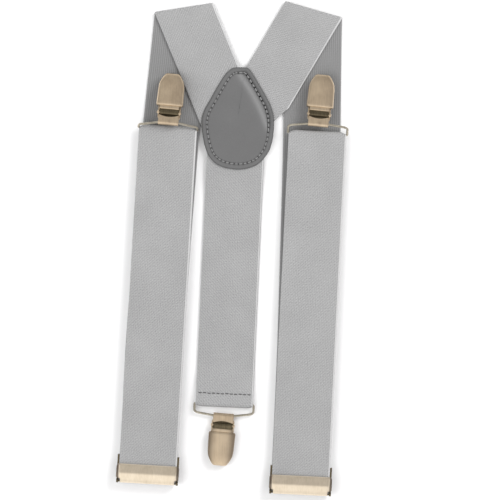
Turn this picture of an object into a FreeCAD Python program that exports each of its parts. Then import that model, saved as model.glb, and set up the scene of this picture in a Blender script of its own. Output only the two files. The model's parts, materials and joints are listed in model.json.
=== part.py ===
import FreeCAD, Part
import math
import os
import Sketcher

# Clip-on elastic braces (suspenders), lying folded flat on a table.
# Millimetres and degrees.  +Z is up, +Y runs from the adjusters towards the top folds,
# and the origin is on the table under the middle of the folded braces.
#
# Each shoulder strap leaves the leather patch, folds back under itself at the top, runs
# down flat on the table, folds forward at the bottom, passes through its adjuster and
# runs up again to the ring of its clip.  From the ring it returns underneath, and its end
# is sewn round the bar of the adjuster.  The back strap runs down to the third clip.

DIMENSIONS = (
    ("web_width", 35.0, "width of the elastic webbing"),
    ("web_thick", 1.2, "thickness of the webbing"),
    ("fold_gap", 0.4, "air between the two plies of a top fold"),
    ("ply_gap", 4.4, "air between the rear ply and the front ply"),
    ("loop_bore", 0.8, "inner radius of the webbing where it turns round a ring"),
    ("leather_thick", 1.6, "thickness of the back leather of the patch"),
    ("stitch_inset", 3.3, "patch edge to its line of stitches"),
    ("stitch_pitch", 2.8, "length of one stitch and the gap after it"),
    ("stitch_length", 2.0, "length of one stitch on the surface"),
    ("thread", 0.45, "thickness of the sewing thread"),
    ("patch_x", 3.25, "centre of the patch"),
    ("patch_y", 81.0, "centre of the patch"),
    ("back_leather_scale", 0.95, "back leather relative to the front leather"),
    ("strap_end_y", 61.1, "line on which the strap ends meet inside the patch"),
    ("seam_gap", 0.15, "each strap's edge to the line where the two straps meet"),
    ("stub_length", 6.0, "end of the front ply behind the ring"),
    ("end_gap", 0.1, "air between the end of one ply and the next"),
    ("hem_length", 11.0, "length of the turned-under end of the back strap"),
    ("hem_seam", 8.4, "looped end of the back strap to its seam"),
    ("left_ring_x", -39.9, "run of the left ring inside the webbing loop"),
    ("left_ring_y", 74.0, "run of the left ring inside the webbing loop"),
    ("left_lean", 3.4, "lean of the left front ply"),
    ("left_run", 219.9, "left ring to the lower edge of the left adjuster"),
    ("left_fold_x", -30.5, "middle of the left top fold"),
    ("left_fold_y", 148.0, "middle of the left top fold"),
    ("left_slant", 22.3, "left strap between fold and patch, from the Y axis"),
    ("left_ring_tilt", 60.0, "how far the left ring stands up"),
    ("left_clip_pitch", 12.0, "how far the left clip points down"),
    ("left_clip_yaw", 1.9, "left clip turned on its ring"),
    ("right_ring_x", 52.4, "run of the right ring inside the webbing loop"),
    ("right_ring_y", 70.8, "run of the right ring inside the webbing loop"),
    ("right_lean", 2.8, "lean of the right front ply"),
    ("right_run", 223.3, "right ring to the lower edge of the right adjuster"),
    ("right_fold_x", 50.3, "middle of the right top fold"),
    ("right_fold_y", 146.8, "middle of the right top fold"),
    ("right_slant", -30.5, "right strap between fold and patch, from the Y axis"),
    ("right_ring_tilt", 35.0, "how far the right ring stands up"),
    ("right_clip_pitch", 8.0, "how far the right clip points down"),
    ("right_clip_yaw", 2.9, "right clip turned on its ring"),
    ("back_ring_x", -5.3, "run of the back ring inside the webbing loop"),
    ("back_ring_y", -96.1, "run of the back ring inside the webbing loop"),
    ("back_lean", 2.57, "lean of the back strap"),
    ("back_clip_pitch", 0.5, "how far the back clip points down"),
    ("back_clip_yaw", 2.4, "back clip turned on its ring"),
    ("wire_radius", 0.7, "radius of the ring wire"),
    ("ring_width", 36.6, "ring, between the centres of its side runs"),
    ("ring_depth", 7.4, "ring, between the centres of its long runs"),
    ("ring_tight_bend", 1.0, "bend of the ring beside the webbing loop"),
    ("ring_wide_bend", 3.0, "bend of the ring beside the clip"),
    ("sheet_metal", 0.6, "thickness of the clip's sheet metal"),
    ("tail_bore", 1.1, "inner radius of the clip's rolled tail"),
    ("neck_length", 4.3, "neck plate in front of the ring wire"),
    ("neck_width", 12.2, "width of the rolled tail and the neck plate"),
    ("base_length", 30.2, "ring wire to the tip of the back plate"),
    ("base_width", 13.6, "width of the back plate"),
    ("ear_radius", 1.7, "rounded top of the ears that hold the pin"),
    ("ear_length", 3.4, "ears along the clip"),
    ("hinge_along", 5.7, "ring wire to the lid's pin, along the clip"),
    ("hinge_up", 1.8, "lid's pin above the ring wire"),
    ("hinge_radius", 0.6, "radius of the lid's pin"),
    ("rivet_radius", 0.9, "radius of the pin's riveted heads"),
    ("rivet_head", 0.7, "thickness of the pin's riveted heads"),
    ("running_gap", 0.05, "radial clearance of a lid or lever on its pin"),
    ("lid_tip", 30.7, "ring wire to the tip of the lid"),
    ("lid_shoulder", 9.7, "ring wire to the shoulders of the lid"),
    ("lid_ledge", 6.9, "ring wire to the rear edge of the lid's ledge"),
    ("lid_width", 17.0, "width of the lid"),
    ("lid_top", 4.4, "top of the lid above the ring wire"),
    ("lid_skirt", 3.4, "depth of the lid's turned-down sides"),
    ("ledge_width", 11.8, "width of the lid's ledge"),
    ("ledge_top", 3.2, "top of the ledge above the ring wire"),
    ("cheek_width", 11.6, "lid's hinge cheeks, outside to outside"),
    ("cheek_radius", 1.1, "round of the hinge cheek about the pin"),
    ("cam_reach", 1.25, "centre of the cam's nose from the pin"),
    ("cam_nose", 0.5, "radius of the cam's nose"),
    ("jaw_width", 11.8, "width of the jaw between the ears"),
    ("jaw_front_width", 13.0, "width of the jaw under the lid"),
    ("jaw_rear", 1.9, "ring wire to the rear edge of the jaw"),
    ("jaw_tip", 29.9, "ring wire to the tip of the jaw"),
    ("jaw_low", -0.7, "underside of the jaw's rear part"),
    ("jaw_high", 1.2, "underside of the jaw's front part"),
    ("pad_length", 7.0, "grip pads along the clip"),
    ("pad_thick", 1.0, "thickness of the grip pads"),
    ("pad_start", 22.5, "ring wire to the grip pads"),
    ("lever_width", 37.2, "width of the adjuster's lever"),
    ("lever_rear", 0.6, "adjuster's lower edge to the rear edge of the lever"),
    ("lever_length", 12.0, "adjuster's lower edge to the free edge of the lever"),
    ("lever_ridge", 6.5, "lower edge of the lever to its ridge"),
    ("lever_low", 8.5, "height of the lever's lower edge"),
    ("lever_crest", 10.2, "height of the lever's ridge"),
    ("lever_free", 8.3, "height of the lever's free edge"),
    ("lever_thick", 0.8, "thickness of the lever"),
    ("lever_hinge_along", 1.5, "adjuster's lower edge to the lever's pin"),
    ("lever_hinge_up", 8.0, "height of the lever's pin"),
    ("lever_pin", 0.5, "radius of the lever's pin"),
    ("heel_radius", 0.9, "round of the lever about its pin"),
    ("teeth_along", 4.9, "adjuster's lower edge to the gripping teeth"),
    ("teeth_low", 7.1, "height of the points of the teeth"),
    ("rail_gap", 0.3, "air between the strap's edge and the frame"),
    ("rail_thick", 1.2, "thickness of the frame's side rails"),
    ("rail_low", 2.8, "underside of the side rails"),
    ("rail_high", 6.4, "top of the side rails"),
    ("frame_length", 17.7, "adjuster frame along the strap"),
    ("anvil_along", 4.2, "lower edge of the frame to its clamping bar"),
    ("anvil_length", 3.2, "clamping bar along the strap"),
    ("anvil_low", 4.0, "underside of the clamping bar"),
    ("anvil_thick", 1.2, "thickness of the clamping bar"),
    ("bar_along", 16.2, "adjuster's lower edge to the bar for the sewn end"),
    ("bar_up", 3.45, "height of that bar"),
    ("bar_radius", 0.65, "radius of that bar"),
    ("sewn_tail", 12.0, "length of the sewn end beyond the bar"),
)

doc = FreeCAD.newDocument("braces")
sheet = doc.addObject("Spreadsheet::Sheet", "dims")
for row, (alias, value, note) in enumerate(DIMENSIONS, 1):
    sheet.set(f"A{row}", alias)
    sheet.set(f"B{row}", str(value))
    sheet.setAlias(f"B{row}", alias)
    sheet.set(f"C{row}", note)
doc.recompute()

X_AXIS = FreeCAD.Vector(1, 0, 0)
Y_AXIS = FreeCAD.Vector(0, 1, 0)
Z_AXIS = FreeCAD.Vector(0, 0, 1)
SIDES = ("left", "right")
subparts = []


def dim(alias):
    """The number in the sheet's cell of that name."""
    return float(sheet.get(alias))


def value_of(text):
    """What an expression on the sheet's cells comes to."""
    return float(sheet.evalExpression(on_sheet(text)))


def move(x=0.0, y=0.0, z=0.0):
    """A placement that only shifts."""
    return FreeCAD.Placement(FreeCAD.Vector(x, y, z), FreeCAD.Rotation())


def turn(axis, angle):
    """A placement that only turns about an axis through the origin."""
    return FreeCAD.Placement(FreeCAD.Vector(), FreeCAD.Rotation(axis, angle))


def bind(thing, **sizes):
    """Ties properties of an object to expressions on the sheet."""
    for prop, text in sizes.items():
        thing.setExpression(prop, text)


def on_sheet(text):
    """The same expression with the sheet's name before each alias."""
    words = []
    for word in text.replace("(", " ( ").replace(")", " ) ").split():
        words.append("dims." + word if word[0].isalpha() else word)
    return " ".join(words)


def block(frame, wide, long, high, at=(0.0, 0.0, 0.0), tip=0.0):
    """A box centred on local X; `at` is the middle of its low edge and `tip` pitches it."""
    thing = doc.addObject("Part::Box", "Block")
    bind(thing, Length=on_sheet(wide), Width=on_sheet(long), Height=on_sheet(high))
    place = frame * move(*at) * turn(X_AXIS, tip) * move(x=-value_of(wide) / 2)
    thing.Placement = place
    return thing


def rod(frame, radius, length, at=(0.0, 0.0, 0.0), angle=360.0):
    """A cylinder along local X, centred at `at`; half a turn leaves its +Y half."""
    thing = doc.addObject("Part::Cylinder", "Rod")
    bind(thing, Radius=on_sheet(radius), Height=on_sheet(length))
    thing.Angle = angle
    lying = turn(Y_AXIS, 90) * move(z=-value_of(length) / 2)
    thing.Placement = frame * move(*at) * lying
    return thing


def less(base, *tools):
    """Base with the tools cut away."""
    for tool in tools:
        cut = doc.addObject("Part::Cut", "Cut")
        cut.Base = base
        cut.Tool = tool
        base = cut
    return base


def joined(*things):
    """The things fused into one solid."""
    fusion = doc.addObject("Part::MultiFuse", "Joined")
    fusion.Shapes = list(things)
    fusion.Refine = True
    return fusion


def half_tube(frame, outer, inner, length, at=(0.0, 0.0, 0.0)):
    """Half of a tube along local X, on the +Y side of its axis."""
    shell = rod(frame, outer, length, at, 180.0)
    bore = rod(frame, inner, length, at, 360.0)
    return less(shell, bore)


def profile(name, frame, corners, wide):
    """A body padded evenly to both sides of its YZ plane from a polygon of sheet sizes."""
    body = doc.addObject("PartDesign::Body", name)
    sketch = body.newObject("Sketcher::SketchObject", name + "_outline")
    plane = [o for o in body.Origin.OriginFeatures if o.Role == "YZ_Plane"][0]
    sketch.AttachmentSupport = (plane, "")
    sketch.MapMode = "FlatFace"
    points = [FreeCAD.Vector(value_of(a), value_of(b), 0) for a, b in corners]
    count = len(points)
    for i in range(count):
        sketch.addGeometry(Part.LineSegment(points[i], points[(i + 1) % count]), False)
    for i in range(count):
        sketch.addConstraint(Sketcher.Constraint("Coincident", i, 2, (i + 1) % count, 1))
    for i, (along, up) in enumerate(corners):
        for kind, text, number in (("DistanceX", along, points[i].x), ("DistanceY", up, points[i].y)):
            index = sketch.addConstraint(Sketcher.Constraint(kind, -1, 1, i, 1, number))
            sketch.setExpression(f"Constraints[{index}]", on_sheet(text))
    pad = body.newObject("PartDesign::Pad", name + "_pad")
    pad.Profile = sketch
    pad.setExpression("Length", on_sheet(wide))
    pad.SideType = "Symmetric"
    body.Placement = frame
    return body


def keep(thing, label):
    """Names a finished sub-part."""
    thing.Label = label
    subparts.append(thing)
    return thing


# Webbing.  A front ply's own frame has its origin on the table under the ring's run, with
# local +Y up the ply towards the clip.

REACH = 14.0  # spare length that a cutting plane takes away
LOWER_RUN = {side: -dim(side + "_run") for side in SIDES}


def run_frame(side):
    """The frame of a front ply or, for the back, of the end of the back strap."""
    yaw = 180.0 - dim("back_lean") if side == "back" else -dim(side + "_lean")
    return move(dim(side + "_ring_x"), dim(side + "_ring_y")) * turn(Z_AXIS, yaw)


def turn_along(side):
    """Distance from the ring's run down to the axis of the bottom fold."""
    outer = dim("ply_gap") / 2 + dim("web_thick")
    return LOWER_RUN[side] + outer + dim("rail_thick") / 2


def beyond(frame, high=20.0):
    """A large block on the +Y side of a frame's XZ plane, for cutting."""
    thing = doc.addObject("Part::Box", "Beyond")
    thing.Length = 160
    thing.Width = 160
    thing.Height = high
    thing.Placement = frame * move(-80, 0, -high / 2)
    return thing


def shoulder_strap(side):
    """Rear ply on the table, the top fold, and the upper ply slanting to the patch."""
    sign = 1.0 if side == "left" else -1.0
    top = FreeCAD.Vector(dim(side + "_fold_x"), dim(side + "_fold_y"), 0)
    bottom = run_frame(side).multVec(FreeCAD.Vector(0, turn_along(side), 0))
    lean = math.degrees(math.atan2(top.x - bottom.x, top.y - bottom.y))
    slant = dim(side + "_slant")
    crease = (slant - lean) / 2
    crease_frame = move(top.x, top.y) * turn(Z_AXIS, crease)
    length = (top - bottom).Length
    rear_frame = move(bottom.x, bottom.y) * turn(Z_AXIS, -lean)
    rear = doc.addObject("Part::Box", "RearPly")
    bind(rear, Length="dims.web_width", Height="dims.web_thick")
    rear.Width = length + REACH
    rear.Placement = rear_frame * move(x=-dim("web_width") / 2)
    upper = doc.addObject("Part::Box", "UpperPly")
    bind(upper, Length="dims.web_width", Height="dims.web_thick")
    upper.Width = length / 2
    level = dim("web_thick") + dim("fold_gap")
    downhill = move(top.x, top.y, level) * turn(Z_AXIS, slant)
    upper.Placement = downhill * move(-dim("web_width") / 2, -length / 2 + REACH)
    seam = strap_seam()
    ends = less(
        upper,
        beyond(crease_frame),
        beyond(seam * turn(Z_AXIS, -90 * sign) * move(y=-dim("seam_gap"))),
        beyond(move(y=dim("strap_end_y")) * turn(Z_AXIS, 180)),
    )
    slope = math.radians((slant + lean) / 2)
    wide = dim("web_width") / math.cos(slope)
    fold_frame = crease_frame * move(z=dim("web_thick") + dim("fold_gap") / 2)
    outer = rod(fold_frame, "web_thick + fold_gap / 2", f"{wide}", angle=180.0)
    bore = rod(fold_frame, "fold_gap / 2", f"{2 * wide}")
    fold = less(outer, bore)
    keep(joined(less(rear, beyond(crease_frame)), ends, fold), side + "_shoulder_strap")


def strap_seam():
    """Where the two slanting plies meet under the patch; local +Y points up the seam."""
    left = math.radians(dim("left_slant"))
    right = math.radians(dim("right_slant"))
    half = dim("web_width") / 2
    lx = dim("left_fold_x") + half / math.cos(left)
    ly = dim("left_fold_y")
    rx = dim("right_fold_x") - half / math.cos(right)
    ry = dim("right_fold_y")
    drop = (rx - lx + (ly - ry) * math.tan(left)) / (math.tan(left) - math.tan(right))
    x = rx + drop * math.tan(right)
    y = ry - drop
    return move(x, y) * turn(Z_AXIS, (dim("left_slant") + dim("right_slant")) / 2)


def front_ply(side):
    """Bottom fold, the front ply through the adjuster, and the loop round the ring."""
    frame = run_frame(side)
    fold_at = turn_along(side)
    height = dim("web_thick") + dim("ply_gap")
    middle = height / 2 + dim("web_thick") / 2
    ring_up = height - dim("loop_bore")
    long_ply = block(frame, "web_width", f"{-fold_at}", "web_thick", (0, fold_at, height))
    fold_frame = frame * move(0, fold_at, middle) * turn(Z_AXIS, 180)
    fold = half_tube(fold_frame, "ply_gap / 2 + web_thick", "ply_gap / 2", "web_width")
    loop = half_tube(frame * move(z=ring_up), "loop_bore + web_thick", "loop_bore", "web_width")
    stub = block(frame, "web_width", "stub_length", "web_thick",
                 (0, -dim("stub_length"), ring_up - dim("loop_bore") - dim("web_thick")))
    keep(joined(long_ply, fold, loop, stub), side + "_front_ply")


def return_ply(side):
    """The ply between the loop at the ring and the end sewn round the adjuster's bar."""
    frame = run_frame(side)
    low = dim("ply_gap") + dim("web_thick") - 2 * dim("loop_bore") - dim("web_thick")
    high = dim("bar_up") + dim("bar_radius") + dim("end_gap")
    start = LOWER_RUN[side] + dim("bar_along") + dim("sewn_tail") + dim("end_gap")
    end = -dim("stub_length") - dim("end_gap")
    pitch = -math.degrees(math.atan2(high - low, end - start))
    length = math.hypot(end - start, high - low)
    keep(block(frame, "web_width", f"{length}", "web_thick", (0, start, high), pitch),
         side + "_return_ply")


def back_strap():
    """The strap from the patch to the back clip; its end is turned under and sewn."""
    frame = run_frame("back")
    patch_end = dim("strap_end_y") - dim("back_ring_y") - 0.3
    lift = dim("web_thick") + dim("fold_gap")
    hem = dim("hem_length")
    thick = dim("web_thick")
    over = thick + 2 * dim("loop_bore")
    spine = ((0, over), (hem - 2, thick), (hem, thick), (2 * hem, 0),
             (patch_end - 30, 0), (patch_end - 12, lift), (patch_end, lift))
    outline = [FreeCAD.Vector(0, -a, b) for a, b in spine]
    outline += [FreeCAD.Vector(0, -a, b + thick) for a, b in reversed(spine)]
    face = Part.Face(Part.makePolygon(outline + outline[:1]))
    upper = doc.addObject("Part::Feature", "BackUpper")
    upper.Shape = face.extrude(X_AXIS * dim("web_width"))
    upper.Placement = frame * move(x=-dim("web_width") / 2)
    loop = half_tube(frame * move(z=thick + dim("loop_bore")),
                     "loop_bore + web_thick", "loop_bore", "web_width")
    under = block(frame, "web_width", "hem_length", "web_thick", (0, -hem, 0))
    keep(joined(upper, loop, under), "back_strap")


# Patch: two pieces of leather, narrow and flat at the top, with the strap ends between.

PATCH_OUTLINE = (
    (6.2, 31.6), (8.6, 28.0), (12.6, 20.6), (17.7, 10.6), (21.5, 2.4), (22.4, -5.3),
    (20.3, -17.2), (13.4, -28.3), (8.4, -31.0), (0.0, -31.7), (-8.2, -31.0), (-13.6, -28.3),
    (-20.2, -17.2), (-22.3, -5.3), (-21.4, 1.8), (-18.2, 8.8), (-12.9, 17.8), (-6.2, 28.0),
    (-0.6, 31.6),
)


def patch_wire(scale=1.0):
    """The patch's edge, a smooth curve closed by its short flat top."""
    points = [FreeCAD.Vector(a * scale, b * scale, 0) for a, b in PATCH_OUTLINE]
    curve = Part.BSplineCurve()
    curve.interpolate(points)
    return Part.Wire([curve.toShape(), Part.LineSegment(points[-1], points[0]).toShape()])


def leather(label, height, scale):
    """One leather piece of the patch."""
    thing = doc.addObject("Part::Feature", label)
    thing.Shape = Part.Face(patch_wire(scale)).extrude(Z_AXIS * dim("leather_thick"))
    thing.Placement = move(dim("patch_x"), dim("patch_y"), height)
    keep(thing, label)


def stitches(label, frame, starts, height):
    """A row of thread stitches as short rods lying on a surface."""
    solids = []
    for at, direction in starts:
        base = at - direction * (dim("stitch_length") / 2)
        solids.append(Part.makeCylinder(dim("thread") / 2, dim("stitch_length"), base, direction))
    thing = doc.addObject("Part::Feature", label)
    thing.Shape = Part.makeCompound(solids)
    thing.Placement = frame * move(z=height + dim("thread") / 2)
    keep(thing, label)


def patch_stitching():
    """Stitches all round the patch, at an even pitch, inside its edge."""
    seam = patch_wire().makeOffset2D(-dim("stitch_inset"))
    count = round(seam.Length / dim("stitch_pitch"))
    points = seam.discretize(Number=2 * count + 1)
    starts = []
    for i in range(count):
        across = points[2 * i + 1] - points[2 * i]
        starts.append((points[2 * i], across.normalize()))
    frame = move(dim("patch_x"), dim("patch_y"))
    height = 2 * dim("leather_thick") + dim("web_thick")
    stitches("patch_stitching", frame, starts, height)


def back_hem_stitching():
    """One row of stitches across the turned end of the back strap."""
    count = int(dim("web_width") / dim("stitch_pitch"))
    along = -(dim("hem_seam") - dim("loop_bore") - dim("web_thick"))
    first = -(count - 1) / 2 * dim("stitch_pitch")
    starts = [(FreeCAD.Vector(first + i * dim("stitch_pitch"), along, 0), X_AXIS)
              for i in range(count)]
    over = dim("web_thick") + 2 * dim("loop_bore")
    drop = (over - dim("web_thick")) * -along / (dim("hem_length") - 2)
    stitches("back_hem_stitching", run_frame("back"), starts, over - drop + dim("web_thick"))


# Clips.  A clip's own frame has its origin on the ring wire, +Y to its tip, +Z outwards.


def ring_up(side):
    """Height of the ring's run inside the webbing loop."""
    if side == "back":
        return dim("web_thick") + dim("loop_bore")
    return dim("web_thick") + dim("ply_gap") - dim("loop_bore")


def ring_frame(side):
    """Local +Y points from the run in the webbing to the run in the clip."""
    tilt = 0.0 if side == "back" else dim(side + "_ring_tilt")
    return run_frame(side) * move(z=ring_up(side)) * turn(X_AXIS, tilt)


def clip_frame(side):
    """The frame of a clip, pitched and turned a little on its ring."""
    tilt = 0.0 if side == "back" else dim(side + "_ring_tilt")
    level = turn(X_AXIS, -tilt - dim(side + "_clip_pitch"))
    yaw = turn(Z_AXIS, -dim(side + "_clip_yaw"))
    return ring_frame(side) * move(y=dim("ring_depth")) * level * yaw


def ring(side):
    """A rectangular ring of round wire, swept along its centre line."""
    body = doc.addObject("PartDesign::Body", side + "_ring")
    half = dim("ring_width") / 2
    deep = dim("ring_depth")
    tight = dim("ring_tight_bend")
    wide = dim("ring_wide_bend")
    path = body.newObject("Sketcher::SketchObject", side + "_ring_path")
    planes = {o.Role: o for o in body.Origin.OriginFeatures}
    path.AttachmentSupport = (planes["XY_Plane"], "")
    path.MapMode = "FlatFace"
    corners = ((-half, 0, tight), (half, 0, tight), (half, deep, wide), (-half, deep, wide))
    starts = []
    ends = []
    arcs = []
    for i, (cx, cy, bend) in enumerate(corners):
        inward = FreeCAD.Vector(-math.copysign(bend, cx), bend if cy == 0 else -bend, 0)
        centre = FreeCAD.Vector(cx, cy, 0) + inward
        middle = centre - inward.normalize() * bend
        before = FreeCAD.Vector(cx, centre.y, 0)
        after = FreeCAD.Vector(centre.x, cy, 0)
        first, second = (before, after) if i % 2 == 0 else (after, before)
        arcs.append(Part.Arc(first, middle, second))
        starts.append(first)
        ends.append(second)
    for i in range(4):
        path.addGeometry(arcs[i], False)
        path.addGeometry(Part.LineSegment(ends[i], starts[(i + 1) % 4]), False)
    section = body.newObject("Sketcher::SketchObject", side + "_ring_section")
    section.AttachmentSupport = (planes["YZ_Plane"], "")
    section.MapMode = "FlatFace"
    section.addGeometry(Part.Circle(FreeCAD.Vector(), Z_AXIS, dim("wire_radius")), False)
    index = section.addConstraint(Sketcher.Constraint("Radius", 0, dim("wire_radius")))
    section.setExpression(f"Constraints[{index}]", "dims.wire_radius")
    pipe = body.newObject("PartDesign::AdditivePipe", side + "_ring_pipe")
    pipe.Profile = section
    pipe.Spine = path
    body.Placement = ring_frame(side)
    keep(body, side + "_ring")


def clip_base(side):
    """Back plate with a tail rolled round the ring wire, a neck plate and two ears."""
    frame = clip_frame(side)
    low = -dim("tail_bore") - dim("sheet_metal")
    tail = half_tube(frame * turn(Z_AXIS, 180), "tail_bore + sheet_metal", "tail_bore", "neck_width")
    neck = block(frame, "neck_width", "neck_length", "sheet_metal", (0, 0, dim("tail_bore")))
    under = block(frame, "neck_width", "neck_length", "sheet_metal", (0, 0, low))
    plate = block(frame, "base_width", "base_length - 3.0", "sheet_metal", (0, 3.0, low))
    ears = []
    for sign in (-1, 1):
        out = sign * (dim("base_width") - dim("sheet_metal")) / 2
        post = block(frame, "sheet_metal", "ear_length", "hinge_up + tail_bore + sheet_metal",
                     (out, dim("hinge_along") - dim("ear_length") / 2, low))
        ears.append(post)
        ears.append(rod(frame, "ear_radius", "sheet_metal", (out, dim("hinge_along"), dim("hinge_up"))))
    pin = rod(frame, "hinge_radius", "2 * base_width", (0, dim("hinge_along"), dim("hinge_up")))
    keep(less(joined(tail, neck, under, plate, *ears), pin), side + "_clip_base")


def clip_pin(side):
    """The lid's pin, riveted over outside the ears."""
    frame = clip_frame(side)
    at = (0, dim("hinge_along"), dim("hinge_up"))
    shank = rod(frame, "hinge_radius", "base_width + rivet_head", at)
    heads = []
    for sign in (-1, 1):
        out = sign * (dim("base_width") + dim("rivet_head")) / 2
        heads.append(rod(frame, "rivet_radius", "rivet_head", (out, at[1], at[2])))
    keep(joined(shank, *heads), side + "_clip_pin")


def clip_lid(side):
    """Flip lid: a pressed cover with turned-down sides, a ledge, and cheeks with a cam."""
    frame = clip_frame(side)
    metal = dim("sheet_metal")
    shoulder = dim("lid_shoulder")
    outer = block(frame, "lid_width", "lid_tip - lid_shoulder", "lid_skirt",
                  (0, shoulder, dim("lid_top") - dim("lid_skirt")))
    hollow = block(frame, "lid_width - 2 * sheet_metal", "lid_tip - lid_shoulder", "lid_skirt",
                   (0, shoulder - metal, dim("lid_top") - dim("lid_skirt") - metal))
    ledge = block(frame, "ledge_width", "lid_shoulder - lid_ledge + sheet_metal", "sheet_metal",
                  (0, dim("lid_ledge"), dim("ledge_top") - metal))
    step = block(frame, "ledge_width", "sheet_metal", "lid_top - ledge_top + sheet_metal",
                 (0, shoulder, dim("ledge_top") - metal))
    hinge = (dim("hinge_along"), dim("hinge_up"))
    cheeks = []
    for sign in (-1, 1):
        out = sign * (dim("cheek_width") - metal) / 2
        cheeks.append(rod(frame, "cheek_radius", "sheet_metal", (out, *hinge)))
        cheeks.append(block(frame, "sheet_metal", "lid_shoulder - hinge_along",
                            "ledge_top - hinge_up", (out, *hinge)))
        nose_up = dim("hinge_up") - dim("cam_reach")
        cheeks.append(rod(frame, "cam_nose", "sheet_metal", (out, hinge[0], nose_up)))
        cheeks.append(block(frame, "sheet_metal", "2 * cam_nose", "cam_reach",
                            (out, hinge[0] - dim("cam_nose"), nose_up)))
    pin = rod(frame, "hinge_radius + running_gap", "lid_width", (0, *hinge))
    shell = less(outer, hollow)
    keep(less(joined(shell, ledge, step, *cheeks), pin), side + "_clip_lid")


def clip_jaw(side):
    """Spring jaw: a rounded rear edge that it turns on, a tail, a ramp and a plate."""
    frame = clip_frame(side)
    ramp_start = "lid_shoulder - 1.7"
    ramp_end = "lid_shoulder + 1.3"
    corners = (
        ("jaw_rear + sheet_metal / 2", "jaw_low"),
        (ramp_start, "jaw_low"),
        (ramp_end, "jaw_high"),
        ("lid_shoulder + 3", "jaw_high"),
        ("lid_shoulder + 3", "jaw_high + sheet_metal"),
        (ramp_end, "jaw_high + sheet_metal"),
        (ramp_start, "jaw_low + sheet_metal"),
        ("jaw_rear + sheet_metal / 2", "jaw_low + sheet_metal"),
    )
    tail = profile(side + "_jaw_tail", frame, corners, "jaw_width")
    plate = block(frame, "jaw_front_width", "jaw_tip - lid_shoulder - 2", "sheet_metal",
                  (0, dim("lid_shoulder") + 2, dim("jaw_high")))
    half = dim("sheet_metal") / 2
    edge = rod(frame, "sheet_metal / 2", "jaw_width", (0, dim("jaw_rear") + half, dim("jaw_low") + half))
    keep(joined(tail, edge, plate), side + "_clip_jaw")


def clip_pads(side):
    """Two grip pads, one on the back plate and one under the jaw."""
    frame = clip_frame(side)
    start = dim("pad_start")
    base = block(frame, "jaw_front_width", "pad_length", "pad_thick", (0, start, -dim("tail_bore")))
    keep(base, side + "_clip_base_pad")
    high = dim("jaw_high") - dim("pad_thick")
    jaw = block(frame, "jaw_front_width", "pad_length", "pad_thick", (0, start, high))
    keep(jaw, side + "_clip_jaw_pad")


# Adjusters.  An adjuster's own frame has its origin on the table under its lower edge.


def adjuster_place(side):
    """The frame of an adjuster."""
    return run_frame(side) * move(y=LOWER_RUN[side])


def adjuster_frame(side):
    """Two side rails with bosses for the pin, a clamping bar and a bar for the sewn end."""
    frame = adjuster_place(side)
    middle = dim("web_width") / 2 + dim("rail_gap") + dim("rail_thick") / 2
    hinge = (dim("lever_hinge_along"), dim("lever_hinge_up"))
    parts = []
    for sign in (-1, 1):
        out = sign * middle
        parts.append(block(frame, "rail_thick", "frame_length - 0.4", "rail_high - rail_low",
                           (out, 0.4, dim("rail_low"))))
        parts.append(block(frame, "rail_thick", "2 * lever_pin + 1.2", "lever_hinge_up - rail_low",
                           (out, 0.4, dim("rail_low"))))
        parts.append(rod(frame, "lever_pin + 0.6", "rail_thick", (out, *hinge)))
    wide = "web_width + 2 * rail_gap"
    parts.append(block(frame, wide, "anvil_length", "anvil_thick", (0, dim("anvil_along"), dim("anvil_low"))))
    parts.append(rod(frame, "bar_radius", wide, (0, dim("bar_along"), dim("bar_up"))))
    pin = rod(frame, "lever_pin", "2 * web_width", (0, *hinge))
    keep(less(joined(*parts), pin), side + "_adjuster_frame")


def adjuster_pin(side):
    """The lever's pin, held in both side rails."""
    at = (0, dim("lever_hinge_along"), dim("lever_hinge_up"))
    pin = rod(adjuster_place(side), "lever_pin", "web_width + 2 * rail_gap + 2 * rail_thick", at)
    keep(pin, side + "_adjuster_pin")


def adjuster_lever(side):
    """Roof-shaped flip lever with a heel round its pin and a row of gripping teeth."""
    frame = adjuster_place(side)
    corners = (
        ("lever_rear", "lever_low - lever_thick"),
        ("lever_hinge_along", "lever_low - lever_thick"),
        ("teeth_along - 1.1", "lever_crest - 2.4 * lever_thick"),
        ("teeth_along - 0.6", "teeth_low"),
        ("teeth_along", "lever_crest - 2.6 * lever_thick"),
        ("teeth_along + 0.6", "teeth_low"),
        ("teeth_along + 1.1", "lever_crest - 1.6 * lever_thick"),
        ("lever_ridge", "lever_crest - lever_thick"),
        ("lever_length", "lever_free - lever_thick"),
        ("lever_length", "lever_free"),
        ("lever_ridge", "lever_crest"),
        ("lever_rear", "lever_low"),
    )
    roof = profile(side + "_lever_roof", frame, corners, "lever_width")
    hinge = (dim("lever_hinge_along"), dim("lever_hinge_up"))
    heel = rod(frame, "heel_radius", "web_width", (0, *hinge))
    corners_cut = []
    for sign in (-1, 1):
        out = sign * (dim("web_width") / 2 + 5)
        corners_cut.append(block(frame, "10", "4", "8", (out, -0.6, dim("teeth_low") - 2)))
        skirt = block(frame, "10", "lever_length", "1.6", (out, 0, dim("rail_high") - 0.6))
        corners_cut.append(skirt)
    pin = rod(frame, "lever_pin + running_gap", "2 * web_width", (0, *hinge))
    keep(less(joined(roof, heel), pin, *corners_cut), side + "_adjuster_lever")


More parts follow.
